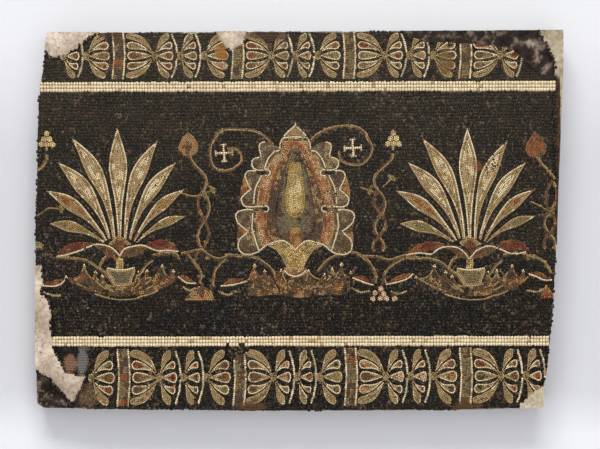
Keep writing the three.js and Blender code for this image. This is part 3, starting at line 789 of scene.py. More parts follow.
def lay_plant(side):
    """A plant of nine leaves over a pair of drooping petals, a cup and an acanthus foot."""
    cx, cz = PLANTS[side]
    piece = side + "_plant_"
    base = np.array((cx, cz))
    leaves = [(CENTRE_LEAF, 0)] + [(shape, rank) for rank, shape in enumerate(LEFT_LEAVES, 1)]
    leaves += [(shape, rank) for rank, shape in enumerate(RIGHT_LEAVES, 1)]
    for shape, rank in leaves:
        layout.claim(piece + "leaves", leaf_outline(*shape) + base)
    layout.claim(piece + "leaves", moved(PLANT_COLLAR, cx, cz))
    red_tops = [smooth(moved(outline, cx, cz), closed=True) for outline in RED_TOPS]
    undersides = [smooth(moved(outline, cx, cz), closed=True) for outline in UNDERSIDES]
    neck = moved(PLANT_NECK, cx, cz)
    for outline in red_tops + undersides + [neck]:
        layout.claim(piece + "petals", outline)
    cup = smooth(moved(PLANT_CUP, cx, cz), closed=True)
    bud = moved(PLANT_BUD, cx, cz)
    layout.claim(piece + "cup", cup)
    layout.claim(piece + "bud", bud)
    for line in PLANT_LINES[side]:
        layout.row(moved(line, cx, cz), LINE_STONE, "line", piece + "petals", anywhere=True)
    layout.area(bud, LINE_STONE, bud_mix, piece + "bud")
    for outline in red_tops:
        layout.area(outline, PICTURE_STONE, edged("red_edge", "red"), piece + "petals")
    for outline in undersides:
        layout.area(outline, PICTURE_STONE, "underside", piece + "petals")
    layout.area(neck, PICTURE_STONE, "calyx", piece + "petals")
    layout.area(cup, PICTURE_STONE, cup_mix, piece + "cup")
    for stem in PLANT_STEMS:
        lay_stem(moved(stem, cx, cz))
    lay_acanthus(PLANT_FOOT, (cx, cz), piece + "acanthus", "stem_pale")
    for shape, rank in leaves:
        lay_leaf(shape, rank, (base, piece + "leaves"))
    layout.area(moved(PLANT_COLLAR, cx, cz), PICTURE_STONE, "leaf_body", piece + "leaves")


# ---------- the lotus
LOTUS_BODY = [
    (0, 97), (15, 96.4), (18.4, 86.5), (32.4, 75), (37.2, 60.6), (30.5, 60.4), (30.5, 54.6),
    (39.6, 53.6), (46.8, 40.8), (48.6, 24.6), (48, 17.6), (33.6, 17.4), (33.6, 10.4),
    (49, 10.2), (49.4, -12.6), (44.4, -35), (33.5, -30.3), (18, -23.4), (7.7, -25.8), (0, -34.2),
]
LOTUS_LOBES = (
    [(12, 82), (24, 90), (34, 94.4), (42, 90), (42.5, 79), (49.6, 73.6), (50.6, 64.4), (40, 60), (28, 60)],
    [(32, 54), (41, 54.4), (50, 58.4), (59, 57.5), (63.6, 46), (65.8, 34), (65, 24), (60, 16.4), (34, 17.6)],
    [(34, 10), (60, 11.8), (68.6, 9), (71, 0), (69, -12), (70, -24), (67, -36), (58, -40.6), (46, -37.4),
     (34, -29)],
)
# The pale line of each lobe, in two curves that meet in a cusp.
LOBE_LINES = (
    ([(36, 94), (41, 93), (43, 88), (41, 76)],
     [(41, 76), (49.5, 74), (52, 68), (48, 61.5), (38, 60)]),
    ([(40, 59.5), (54, 59.5), (59, 57), (59.5, 51), (53.2, 37.7)],
     [(53.2, 37.7), (63.3, 28.2), (64.2, 22.8), (58.6, 16.6), (38, 17.2)]),
    ([(51, 12.6), (60, 13), (70, 8.6), (69, -2.3), (56.3, -13.3)],
     [(56.3, -13.3), (67.3, -24.2), (67.3, -35.3), (58.7, -40.8), (44.5, -37.6), (33.7, -29), (16.3, -24.2),
      (8.5, -27.5), (0.6, -34.4)]),
)
BODY_LINES = (
    [(24, 84), (32, 74.5), (36.7, 63.6)],
    [(40.5, 54), (47.6, 38.5), (50, 19.8)],
    [(50.8, 8.6), (51.6, -8.6), (47.6, -24.2), (44.5, -33.7)],
)
LOTUS_CAP = [(0, 118.5), (1.6, 114), (4.8, 111), (10, 106.6), (14, 101.8), (15.6, 98), (7.5, 97.8), (0, 98)]
CAP_LINE = [(-15, 99), (-8, 99.8), (0, 100.2), (8, 99.8), (15, 99)]
CALYX_ARC = [(-13.6, -59.4), (-8, -64.6), (0, -67), (8, -64.6), (13.6, -59.4)]
# The pale line round the inner end of each slit, and down from the cap to the top lobe.
SLIT_ENDS = (
    [(36.5, 61), (32.4, 60.6), (30, 57.6), (32, 54.4), (36.5, 53.6)],
    [(37, 17.8), (33.4, 17), (31.8, 14), (33.4, 11), (38, 10)],
)
SHOULDERS = ([(15.6, 98), (17.8, 92.6), (18.4, 86)],)
LOTUS_CALYX = [
    (0, -34.2), (7.7, -25.8), (18, -22.8), (33.5, -30.3), (23, -35.5), (17, -43), (12.8, -51), (10.4, -57),
    (13.4, -60), (8, -65.2), (0, -67.6),
]


# The right half of the whole body, without its slits, drawn on below the calyx.
LOTUS_EGG = [
    (0, 97.5), (15.4, 97), (17.6, 92.6), (18.4, 86), (25, 83), (32, 76.5), (37, 64), (42.5, 53), (47.3, 39),
    (49.6, 24), (50.8, 8), (51, -8), (48.5, -23), (45, -36), (42, -60), (0, -80),
]
LOTUS_HEART = [
    (0, 91), (5, 85), (10, 76), (14, 67), (18.5, 52), (22, 34), (25, 16), (26.5, 0), (24.5, -13), (17, -23),
    (0, -33),
]
LOTUS_SEED = [
    (0, 82), (3.4, 77), (6.4, 69), (9, 54), (11, 39), (12, 28), (11.2, 16), (7.4, 7), (0, 3.5),
]
LOTUS_HALO = [
    (0, 88), (5, 80), (9.5, 68), (13, 50), (16, 30), (16.5, 14), (13, 2), (7, -5), (0, -7),
]


def lay_lotus():
    """The lotus: a seed in a dark heart, a body of orange rows, scalloped lobes, a cap and a calyx."""
    def place(outline, sign=1):
        return [(LOTUS_X + sign * x, z + LOTUS_RISE) for x, z in outline]

    def rounded(half):
        return smooth(place(mirrored(half)), closed=True)

    def draw(lines):
        for line in lines:
            for _, sign in SIDES:
                layout.row(place(line, sign), LINE_STONE, "line", "lotus_body", anywhere=True)

    egg, heart, seed, halo = (rounded(half) for half in (LOTUS_EGG, LOTUS_HEART, LOTUS_SEED, LOTUS_HALO))
    body, cap, calyx = (place(mirrored(half)) for half in (LOTUS_BODY, LOTUS_CAP, LOTUS_CALYX))
    lobes = [("lotus_lobe_%s_%d" % (side, number), sign, smooth(place(lobe, sign), closed=True), lines)
             for number, (lobe, lines) in enumerate(zip(LOTUS_LOBES, LOBE_LINES), 1)
             for side, sign in SIDES]
    for piece, sign, outline, lines in lobes:
        layout.claim(piece, outline)
    for name, outline in (("body", body), ("cap", cap), ("heart", heart), ("seed", seed), ("calyx", calyx)):
        layout.claim("lotus_" + name, outline)
    for piece, sign, outline, lines in lobes:
        for line in lines:
            layout.row(place(line, sign), LINE_STONE, "line", piece, anywhere=True)
    draw(BODY_LINES)
    layout.row(place(CALYX_ARC), LINE_STONE, "line", "lotus_calyx", anywhere=True)
    layout.row(place(moved(CALYX_ARC, 0, 3)), LINE_STONE, "body_red", "lotus_calyx", anywhere=True)
    layout.row(place(CAP_LINE), LINE_STONE, "line", "lotus_cap", anywhere=True)
    draw(SLIT_ENDS + SHOULDERS)
    layout.area(seed, PICTURE_STONE, seed_mix, "lotus_seed")
    layout.rings(halo, PICTURE_STONE, "halo", "lotus_heart")
    contours.extend((outline, GROUND_CONTOUR, "field_ground") for outline in (cap, calyx))
    layout.area(heart, PICTURE_STONE, heart_mix, "lotus_heart")
    layout.area(cap, PICTURE_STONE, edged("line", "leaf_body"), "lotus_cap")
    layout.area(calyx, PICTURE_STONE, edged("leaf_low", "calyx"), "lotus_calyx")
    layout.area(egg, PICTURE_STONE, body_mix, "lotus_body")
    for piece, sign, outline, lines in lobes:
        lay_lobe(outline, np.vstack([smooth(place(line, sign)) for line in lines]), piece)
    lay_acanthus(LOTUS_FOOT, (LOTUS_X, LOTUS_RISE), "lotus_acanthus", "brown_black")


def seed_mix(depth, x, z, up):
    height = z - LOTUS_RISE
    if height < 10:
        return "rust" if depth < 2 else "ochre"
    if depth >= 2 and height < 50 + 6 * math.sin(x * 1.6):
        return "seed_light"
    return "seed" if height < 70 else "halo"


def heart_mix(depth, x, z, up):
    if z < LOTUS_RISE - 8 and abs(x - LOTUS_X) < 6:
        return "bud"
    if depth == 0:
        return "dull"
    return "heart_dark" if depth < 2 else "heart"


BODY_ROWS = (
    "line", "body_edge", "body_pale", "body_orange", "body_orange", "body_orange", "body_orange",
    "body_red", "body_red", "dull",
)


def body_mix(depth, x, z, up):
    """Rows of one colour after another, from the edge inwards, whose borders waver."""
    height = z - LOTUS_RISE
    row = depth + 0.9 * float(noise(x, z, 15, 51))
    if height > 84:
        return "body_orange" if depth else "body_edge"
    if depth == 0:
        return "line"
    return BODY_ROWS[int(np.clip(round(row), 1, len(BODY_ROWS) - 1))]


def lay_lobe(outline, line, piece):
    """Grey between the pale scalloped line and the body, and an orange fringe outside the line."""
    def choose(depth, x, z, up):
        toward = 1 if x > LOTUS_X else -1
        beyond = line[:, 0][np.abs(line[:, 1] - z) < 1.2] * toward
        return "fringe" if len(beyond) and x * toward > beyond.max() else "lobe"

    layout.area(outline, PICTURE_STONE, choose, piece)
    contours.append((outline, GROUND_CONTOUR, "field_ground"))


# ---------- vines, spirals and scrolls
SPIRALS = (
    ([(-29.2, 87), (-38.8, 99.5), (-52, 106.9), (-67.6, 109.3), (-91.6, 108.6), (-103.6, 95.4),
      (-107.2, 83.4), (-104.8, 67.8), (-97.6, 60.6), (-83.2, 60.6), (-70.4, 69), (-69.2, 78.6),
      (-75.4, 85.8), (-86.8, 87)], (-90.4, 81)),
    ([(11.6, 91.8), (20, 102), (33.2, 109.3), (48.4, 113), (64.4, 113), (76.4, 107.4), (83.6, 95.9),
      (87.2, 87), (83.6, 76.2), (74, 67.8), (60.8, 67.8), (50.8, 72.6), (47.6, 83.4)], (64.4, 87)),
)
STEMS = (
    [(-131.8, 78.6), (-127.6, 69), (-113.2, 52.8), (-112, 42.6), (-116.2, 35.4)],
    [(112.4, 80.4), (109.6, 72.6), (98, 61.8), (90.8, 52.8), (90.2, 43.8), (94, 36.6)],
    [(283.7, 79.8), (291.6, 66.6), (300.8, 57.5), (306.8, 49.8)],
    [(-302.2, 79), (-306.4, 67.8), (-313.6, 60.6)],
    [(-142, -39.7), (-135.4, -38.8), (-124.4, -36), (-116.8, -35)],
    [(-116.5, -35), (-108, -42), (-97, -45.8), (-86, -43)],
    [(-135.4, -40.2), (-122.8, -54.6), (-118, -63.6), (-119.8, -75.5)],
    [(-89.2, -41.4), (-70.4, -42.6), (-55.6, -43.8), (-43.6, -49.8), (-31.6, -61.3), (-24.4, -81)],
    [(-89.2, -46.2), (-100, -57.7), (-103.6, -71.4), (-103.6, -79.8)],
    [(22.4, -61.3), (33.2, -48.6), (47.2, -41.4), (68, -39), (81.2, -48.6)],
    [(72.8, -42.6), (94.4, -43.8), (107.6, -47.4), (120.8, -43.8), (128, -41.4)],
    [(124.4, -45), (109.6, -54.6), (102.2, -64.2), (102.8, -75)],
    [(78.8, -43.8), (86.6, -54.6), (92, -65.4), (90.8, -75)],
    [(272, -41.4), (284.6, -43.8), (295.7, -51.6), (302, -63.6)],
)
SPRIGS = (
    [(-142, 33), (-128.8, 29.4), (-116.8, 30.6)], [(-112, 33), (-107.2, 35.4)],
    [(100.4, 40.2), (108.8, 48.6)], [(72.8, 40.2), (82.4, 36.6)],
    [(278, 22.8), (288, 18), (300.8, 10.8)], [(-314.8, 5.4), (-306.4, 11.4), (-299.2, 15), (-288.4, 13.8)],
)
LOOPS = (
    [(-139.6, -79.2), (-132.4, -84.2), (-124, -81)], [(109.6, -84.6), (118.4, -88.2), (129.2, -84.6)],
    [(-96.5, -86), (-84.5, -89.1), (-73.8, -83.1)], [(62.2, -80.5), (72.8, -85.8), (84, -84.5)],
    [(273.2, -83.4), (284.6, -85.8), (293.6, -82.2)], [(-307.6, -85.8), (-296, -90), (-286, -90.1)],
)
# The pale lower line of each small petal. The petal is red above it.
SMALL_PETALS = (
    [(-145.6, -67.2), (-135.4, -74.5), (-124, -75.5)], [(-94.5, -78.6), (-79.2, -77.1), (-63.2, -73.1)],
    [(63.5, -68.5), (76.8, -73.8), (88.8, -77.8)],
    [(104, -77), (118.4, -73.8), (129.2, -70.2), (136.4, -64.2)],
    [(275.6, -64.2), (284.6, -67.2), (293.6, -71.4), (303.2, -71.4)],
    [(-309.4, -78.1), (-295.6, -79), (-286.4, -76.2), (-281.2, -71.4)],
)
SMALL_PETAL_RISE = 7.5
TWISTS = (
    (-116.2, 35.4, [(0.6, -113.4), (-35, -117)], -50),
    (94, 36.6, [(7.2, 98.5), (-19.4, 94.9)], -43.3),
    (304, 48, [(10.2, 300.8), (-16, 300)], -40),
)
TWIST_HALF = 6.6
STEM_STONE = 1.7
SPRIG_LOBE = 7.0
TRIANGLE_STONE = 2.5
LOOP_STONE = 2.4
# The crosses in the spirals: the turns of their arms, the places of the stones along one, and its bar.
CROSS_TURNS = (0.05, 1.62, 3.19, 4.76)
CROSS_REACHES = (0.2 * 2.4, 1.2 * 2.4, 2.2 * 2.4, 3.2 * 2.4, 4.1 * 2.4)
CROSS_REACH, CROSS_BAR = 10.4, 0.26
CROSS_STONE, BAR_STONE = 2.3, 2.2
BERRIES = [
    (97.7, -82), (90.8, -87), (101.3, -88.2), (88.4, -93.8), (96.8, -93.8), (105, -93.8), (114.1, -93.8),
]
TRIANGLES = (
    ([(-118, -77), (-128, -84), (-138, -96), (-101, -96), (-106, -84)], "pink_tan"),
    ([(296, -76), (290, -94), (307.6, -92)], "rust"),
    ([(-316, -24.6), (-306, -28), (-308, -33), (-316, -33)], "sprig"),
)


def lay_stem(points, first="stem", second="stem_rust"):
    """A stem of two rows of small stones, the second a little darker."""
    line, _ = spread(smooth(points), 1.0)
    along = np.gradient(line, axis=0)
    across = np.column_stack([-along[:, 1], along[:, 0]]) / np.hypot(*along.T)[:, None]
    for offset, mix in ((STEM_STONE / 2, first), (-STEM_STONE / 2, second)):
        layout.row(line + across * offset, STEM_STONE, mix, "vines", curved=False, anywhere=True, close=0.66)


def lay_twist(x, top, crossings, bottom):
    """Two strands that part and meet again, from top to bottom."""
    knots = [(top, x)] + crossings + [(bottom, crossings[-1][1])]
    for sign in (-1, 1):
        line = []
        swing = sign
        for (z_a, x_a), (z_b, x_b) in zip(knots, knots[1:]):
            for t in (0, 0.25, 0.5, 0.75):
                out = swing * TWIST_HALF * math.sin(math.pi * t)
                line.append((x_a + (x_b - x_a) * t + out, z_a + (z_b - z_a) * t))
            swing = -swing
        lay_stem(line, "stem" if sign > 0 else "stem_rust")


def lay_berry(x, z, size, mix, piece):
    """One round berry: a pale stone in a ring of others."""
    layout.put(x, z, 0.3, size, "cream", piece, anywhere=True)
    for k in range(6):
        turn = k * math.pi / 3 + 0.4
        layout.put(x + size * math.cos(turn), z + size * math.sin(turn), turn, size, mix, piece, 0.7, True)


def lay_cross(x, z):
    """A cross of pale stones, each arm with a bar at its end."""
    for turn in CROSS_TURNS:
        for reach in CROSS_REACHES:
            layout.put(x + reach * math.cos(turn), z + reach * math.sin(turn), turn, CROSS_STONE, "cream",
                       "vines", 0.72, True)
        for bend in (-CROSS_BAR, CROSS_BAR):
            bar_x = x + CROSS_REACH * math.cos(turn + bend)
            bar_z = z + CROSS_REACH * math.sin(turn + bend)
            layout.put(bar_x, bar_z, turn, BAR_STONE, "tan", "vines", 0.72, True)


def lay_vines():
    for spiral, (x, z) in SPIRALS:
        lay_stem(spiral)
        lay_cross(x, z)
    for line in STEMS:
        lay_stem(line)
    for line in SPRIGS:
        layout.row(line, STEM_STONE, "sprig", "vines", anywhere=True)
        (x, z), (before_x, before_z) = line[-1], line[-2]
        ahead = math.atan2(z - before_z, x - before_x)
        for bend in (-0.9, 0, 0.9):
            tip = (x + SPRIG_LOBE * math.cos(ahead + bend), z + SPRIG_LOBE * math.sin(ahead + bend))
            lobe = leaf_outline(x, z, *tip, SPRIG_LOBE * 0.6)
            layout.inlay(lobe, STEM_STONE, "sprig", "vines")
    for line in LOOPS:
        layout.row(line, LOOP_STONE, "stem", "vines", anywhere=True)
    for line in SMALL_PETALS:
        layout.row(line, LINE_STONE, "line", "vines", anywhere=True)
        lower, along = spread(smooth(line), 1.5)
        upper = lower + np.column_stack([0 * along, SMALL_PETAL_RISE * np.sin(math.pi * along / along[-1])])
        outline = np.vstack([lower, upper[::-1]])
        layout.inlay(outline, PICTURE_STONE, "red_edge", "vines")
    for x, top, crossings, bottom in TWISTS:
        lay_twist(x, top, crossings, bottom)
    for x, z in BERRIES:
        lay_berry(x, z, 2.1, "berry_rose", "vines")
    for outline, mix in TRIANGLES:
        layout.inlay(outline, TRIANGLE_STONE, mix, "vines")


# Two clusters are of round berries, and two are soft drops: (mix, half width and height of the drop).
CLUSTER_KINDS = (("berry", None), ("berry_pink", (12, 14.5)), ("berry", None), ("berry_rust", (12.5, 15.5)))
DROP_SINK = 3.5
BERRY_ROWS, BERRY_STEP = (8.4, 2.0, -4.6), 6.8


def drop_outline(x, z, half_width, half_height):
    """A drop, pointed on top."""
    turns = np.linspace(0, 2 * math.pi, 40, endpoint=False)
    across = half_width * 1.3 * np.sin(turns) * np.sin(turns / 2)
    return np.column_stack([x + across, z + half_height * np.cos(turns)])


def lay_clusters():
    for number, (left, right, bottom, top) in enumerate(CLUSTERS, 1):
        piece = "berry_cluster_%d" % number
        x, z = (left + right) / 2, (bottom + top) / 2
        mix, drop = CLUSTER_KINDS[number - 1]
        if drop:
            layout.inlay(drop_outline(x, z - DROP_SINK, *drop), PICTURE_STONE, mix, piece)
            continue
        for row, height in enumerate(BERRY_ROWS):
            for k in range(row + 1):
                lay_berry(x + (k - row / 2) * BERRY_STEP, z + height, 2.2, mix, piece)
        layout.row([(x, z - 8.5), (x, z - 12)], 2.3, "stem", "vines", anywhere=True)


# ---------- fillets and grounds
def lay_fillets():
    for name in ("upper_fillet", "lower_fillet"):
        left, right, bottom, top = extent(name)
        rise = (top - bottom) - FILLET_WIDTH
        x = left + chance.uniform(0, 3)
        while x < right:
            for share in (1 / 6, 3 / 6, 5 / 6):
                z = bottom + FILLET_WIDTH * share + rise * (x + 320) / 640 + chance.uniform(-0.12, 0.12)
                layout.put(x + chance.uniform(-0.3, 0.3), z, 0.002, FILLET_STONE, "fillet", name, 0.7)
            x += chance.uniform(3.2, 4.0)


GROUND_STONE = 3.7
BORDER_GROUND_STONE = 3.1


def lay_grounds():
    """A row round each motif, then level rows, then single stones in what is left."""
    for outline, size, name in contours:
        layout.rings(outline, size, "ground", name, last=1, outward=True)
    for name, bottom, top in (("field_ground", -152, 168), ("upper_border_ground", 155, 232),
                              ("lower_border_ground", -232, -140)):
        size = GROUND_STONE if name == "field_ground" else BORDER_GROUND_STONE
        row = 0
        z = bottom
        while z < top:
            height = chance.uniform(0.9, 1.1) * size
            x = -322.0 + chance.uniform(0, size)
            while x < 322:
                width = chance.uniform(0.72, 1.28) * size
                wave = 0.9 * math.sin(x / 47 + row * 0.11) + 0.5 * math.sin(x / 19 + row * 0.37)
                layout.put(x + width / 2, z + wave + chance.uniform(-0.35, 0.35), chance.uniform(-0.12, 0.12),
                           (width + height) / 2, "ground", name, 0.78)
                x += width
            z += height
            row += 1
        corners = [(-322, bottom), (322, bottom), (322, top), (-322, top)]
        layout.fill(corners, size, "ground", name, 0.82)


def lay_picture():
    """The whole picture, most important things first."""
    claim_grounds()
    lay_fillets()
    for name in BORDERS:
        lay_border(name)
    lay_plant("left")
    lay_plant("right")
    lay_lotus()
    lay_clusters()
    lay_vines()
    lay_grounds()


lay_picture()


# ---------- cutting the stones to fit
MOST_CORNERS = 10
GROUND_JOINT, FILLET_JOINT, FINE_JOINT = 0.42, 0.13, 0.24


def clip(poly, count, point, normal):
    """Cuts each outline back to the side of its line that the normal points away from."""
    slots = np.arange(MOST_CORNERS)
    alive = slots < count[:, None]
    following = np.where(slots + 1 < count[:, None], slots + 1, 0)
    after = np.take_along_axis(poly, following[..., None], 1)
    here = ((poly - point[:, None]) * normal[:, None]).sum(2)
    there = np.take_along_axis(here, following, 1)
    keep = alive & (here <= 0)
    cross = alive & ((here <= 0) != (there <= 0))
    share = here / np.where(cross, here - there, 1)
    cut = poly + (after - poly) * share[..., None]
    both = np.stack([poly, cut], 2).reshape(len(poly), 2 * MOST_CORNERS, 2)
    kept = np.stack([keep, cross], 2).reshape(len(poly), 2 * MOST_CORNERS)
    order = np.argsort(~kept, axis=1, kind="stable")[:, :MOST_CORNERS]
    return np.take_along_axis(both, order[..., None], 1), np.minimum(kept.sum(1), MOST_CORNERS)


def drop_short_sides(poly, count, least):
    """Takes out the corners that stand closer than least to the next one."""
    slots = np.arange(MOST_CORNERS)
    following = np.where(slots + 1 < count[:, None], slots + 1, 0)
    after = np.take_along_axis(poly, following[..., None], 1)
    kept = (slots < count[:, None]) & (np.hypot(*np.moveaxis(after - poly, 2, 0)) > least)
    order = np.argsort(~kept, axis=1, kind="stable")
    return np.take_along_axis(poly, order[..., None], 1), kept.sum(1)


def cut_stones(x, z, angle, size, joint):
    """The outline of each stone: a rough square, trimmed back from its neighbours by half a joint."""
    total = len(x)
    poly = np.zeros((total, MOST_CORNERS, 2))
    for k in range(4):
        turn = angle + math.pi * (0.25 + 0.5 * k) + dice.uniform(-0.07, 0.07, total)
        reach = size * math.sqrt(2) * dice.uniform(0.53, 0.6, total)
        poly[:, k, 0] = x + reach * np.cos(turn)
        poly[:, k, 1] = z + reach * np.sin(turn)
    count = np.full(total, 4)
    column = np.floor(x / CELL).astype(int) + 500
    key = column * 1000 + np.floor(z / CELL).astype(int) + 500
    order = np.argsort(key, kind="stable")
    in_order = key[order]
    for step in (-1001, -1000, -999, -1, 0, 1, 999, 1000, 1001):
        first = np.searchsorted(in_order, key + step, "left")
        last = np.searchsorted(in_order, key + step, "right")
        for rank in range((last - first).max()):
            mine = np.flatnonzero(first + rank < last)
            other = order[first[mine] + rank]
            gap = np.hypot(x[other] - x[mine], z[other] - z[mine])
            near = (other != mine) & (gap < 0.85 * (size[mine] + size[other]))
            mine, other, gap = mine[near], other[near], gap[near]
            normal = np.column_stack([x[other] - x[mine], z[other] - z[mine]]) / gap[:, None]
            reach = gap * size[mine] / (size[mine] + size[other]) - (joint[mine] + joint[other]) / 4
            point = np.column_stack([x[mine], z[mine]]) + normal * reach[:, None]
            poly[mine], count[mine] = clip(poly[mine], count[mine], point, normal)
    return drop_short_sides(poly, count, 0.4)


def solid_stones(name, poly, count, stones):
    """A mesh with one closed wedge for each stone, pointed behind and a little tilted in front."""
    total = len(poly)
    used = np.arange(MOST_CORNERS) < count[:, None]
    owner = np.nonzero(used)[0]
    flat = poly[used]
    middle = np.add.reduceat(flat, np.concatenate([[0], np.cumsum(count)[:-1]])) / count[:, None]
    spoke = flat - middle[owner]
    lift = dice.uniform(-0.16, 0.16, total) + 0.22 * noise(middle[:, 0], middle[:, 1], 34, 5)
    lift -= 0.5 * worn(middle[:, 0], middle[:, 1])
    tilt = dice.uniform(-0.05, 0.05, (total, 2))
    front = FACE + lift[owner] + (spoke * tilt[owner]).sum(1)
    top = np.column_stack([flat[:, 0] - 0.05 * spoke[:, 0], -front, flat[:, 1] - 0.05 * spoke[:, 1]])
    point = np.column_stack([middle[:, 0], np.full(total, STONE_DEPTH - FACE), middle[:, 1]])
    corners = len(flat)
    first = np.concatenate([[0], np.cumsum(count)[:-1]])
    here = np.arange(corners)
    nxt = here + 1
    nxt[first + count - 1] = first
    walls = np.column_stack([here, owner + corners, nxt]).ravel()
    loops = np.concatenate([here, walls])
    starts = np.concatenate([first, corners + 3 * here])
    kinds = np.concatenate([stones, stones[owner]])
    mesh = bpy.data.meshes.new(name)
    mesh.vertices.add(corners + total)
    mesh.vertices.foreach_set("co", (np.concatenate([top, point]) * MM).ravel())
    mesh.loops.add(len(loops))
    mesh.loops.foreach_set("vertex_index", loops)
    mesh.polygons.add(len(starts))
    mesh.polygons.foreach_set("loop_start", starts)
    present = sorted(set(stones.tolist()))
    slots = np.zeros(len(STONES), int)
    slots[present] = np.arange(len(present))
    mesh.polygons.foreach_set("material_index", slots[kinds])
    mesh.update(calc_edges=True)
    mesh.validate()
    for k in present:
        mesh.materials.append(stone_materials[STONES[k]])
    flat_map(mesh)
    return mesh


def flat_map(mesh):
    """A map straight from the front, so that each stone keeps its own patch of colour."""
    corners = np.zeros(len(mesh.vertices) * 3)
    mesh.vertices.foreach_get("co", corners)
    corners = corners.reshape(-1, 3)[:, (0, 2)]
    low = corners.min(0) - MM
    span = (corners.max(0) + MM - low).max()
    index = np.zeros(len(mesh.loops), int)
    mesh.loops.foreach_get("vertex_index", index)
    layer = mesh.uv_layers.new(name="OFBake")
    layer.data.foreach_set("uv", ((corners[index] - low) / span).ravel())


def worn(x, z):
    """From 0 to 1: how far the face is worn down at a place."""
    patch = np.exp(-((x + 254) / 15) ** 2 - ((z + 209) / 17) ** 2)
    return np.clip(patch * 1.3 + 0.3 * noise(x, z, 60, 8) - 0.1, 0, 1)


# ---------- materials
class Nodes:
    """A tree of shader nodes being put together. Places are in metres, in the panel's frame."""

    def __init__(self, tree):
        self.tree = tree
        self.place = self.add("ShaderNodeTexCoord").outputs["Object"]

    def add(self, kind, **settings):
        node = self.tree.nodes.new(kind)
        for key, value in settings.items():
            setattr(node, key, value)
        return node

    def link(self, source, target):
        self.tree.links.new(source, target)

    def noise(self, scale, detail=4.0, roughness=0.6):
        node = self.add("ShaderNodeTexNoise")
        node.inputs["Scale"].default_value = scale
        node.inputs["Detail"].default_value = detail
        node.inputs["Roughness"].default_value = roughness
        self.link(self.place, node.inputs["Vector"])
        return node.outputs["Fac"]

    def ramp(self, value, stops):
        """A colour ramp. stops are (position, sRGB colour from 0 to 255)."""
        node = self.add("ShaderNodeValToRGB")
        while len(node.color_ramp.elements) < len(stops):
            node.color_ramp.elements.new(0.5)
        for element, (position, colour) in zip(node.color_ramp.elements, stops):
            element.position = position
            element.color = (*linear(colour), 1)
        self.link(value, node.inputs["Fac"])
        return node.outputs["Color"]

    def range(self, value, low, high, to_low, to_high):
        node = self.add("ShaderNodeMapRange")
        for socket, number in zip(("From Min", "From Max", "To Min", "To Max"), (low, high, to_low, to_high)):
            node.inputs[socket].default_value = number
        self.link(value, node.inputs["Value"])
        return node.outputs["Result"]

    def mix(self, factor, first, second, blend="MIX"):
        """Mixes two colours. factor and second may be sockets or values."""
        node = self.add("ShaderNodeMix", data_type="RGBA", blend_type=blend)
        for socket, value in ((node.inputs[0], factor), (node.inputs[6], first), (node.inputs[7], second)):
            if isinstance(value, bpy.types.NodeSocket):
                self.link(value, socket)
            elif isinstance(value, tuple):
                socket.default_value = (*linear(value), 1)
            else:
                socket.default_value = value
        return node.outputs[2]

    def math(self, operation, first, second):
        """A sum or product. second may be a socket or a number."""
        node = self.add("ShaderNodeMath", operation=operation)
        self.link(first, node.inputs[0])
        if isinstance(second, bpy.types.NodeSocket):
            self.link(second, node.inputs[1])
        else:
            node.inputs[1].default_value = second
        return node.outputs[0]

    def from_point(self, x, z, half_x, half_z):
        """Distance from a point on the face, in millimetres, as a share of the half sizes."""
        value = self.place
        steps = (("SUBTRACT", (x * MM, 0, z * MM)), ("MULTIPLY", (1 / half_x / MM, 0, 1 / half_z / MM)))
        for operation, by in steps:
            node = self.add("ShaderNodeVectorMath", operation=operation)
            self.link(value, node.inputs[0])
            node.inputs[1].default_value = by
            value = node.outputs["Vector"]
        node = self.add("ShaderNodeVectorMath", operation="LENGTH")
        self.link(value, node.inputs[0])
        return node.outputs["Value"]

    def along(self, axis):
        """One coordinate: 0 across the panel, 2 up it."""
        node = self.add("ShaderNodeSeparateXYZ")
        self.link(self.place, node.inputs[0])
        return node.outputs[axis]


class Surface(Nodes):
    """A node material being put together."""

    def __init__(self, name):
        self.material = bpy.data.materials.new(name)
        self.material.use_nodes = True
        super().__init__(self.material.node_tree)
        self.shader = self.tree.nodes["Principled BSDF"]

    def with_films_and_sheen(self, colour):
        """The colour with the old smears and stains over it, and a pale painted sheen towards the top."""
        node = self.add("ShaderNodeGroup", node_tree=films_and_sheen)
        self.link(colour, node.inputs[0])
        return node.outputs[0]

    def finish(self, colour, roughness, height, strength, depth):
        """Links colour, roughness and bump to the shader. depth is in metres."""
        self.link(colour, self.shader.inputs["Base Color"])
        self.link(roughness, self.shader.inputs["Roughness"])
        bump = self.add("ShaderNodeBump")
        bump.inputs["Strength"].default_value = strength
        bump.inputs["Distance"].default_value = depth
        self.link(height, bump.inputs["Height"])
        self.link(bump.outputs["Normal"], self.shader.inputs["Normal"])
        return self.material


def linear(colour):
    """An sRGB colour from 0 to 255, as linear light."""
    return tuple((c / 255 / 12.92) if c < 10.3 else ((c / 255 + 0.055) / 1.055) ** 2.4 for c in colour)


# Old smears, stains, worn places and lime on the face: middle, half sizes in millimetres, colour, strength.
FILMS = (
    (-260, -169.5, 7, 23, (112, 107, 100), 0.85), (-254, -209, 18, 17, (120, 92, 62), 0.3),
    (214, 65, 7, 9, (118, 70, 38), 0.6), (-56, -223, 22, 6, (84, 56, 30), 0.8),
    (199, -223, 19, 6, (84, 58, 32), 0.8), (175, 190, 11, 19, (104, 80, 42), 0.8),
    (-94, 203, 8, 10, (142, 98, 42), 0.85), (-128, 228.5, 28, 4, (184, 172, 154), 0.85),
    (40, 229, 28, 3.5, (178, 166, 148), 0.8), (-230, 224, 15, 5, (66, 50, 36), 0.8),
    (-38, 222, 27, 7, (72, 54, 40), 0.8), (-275, -172, 8, 12, (150, 112, 88), 0.6),
)


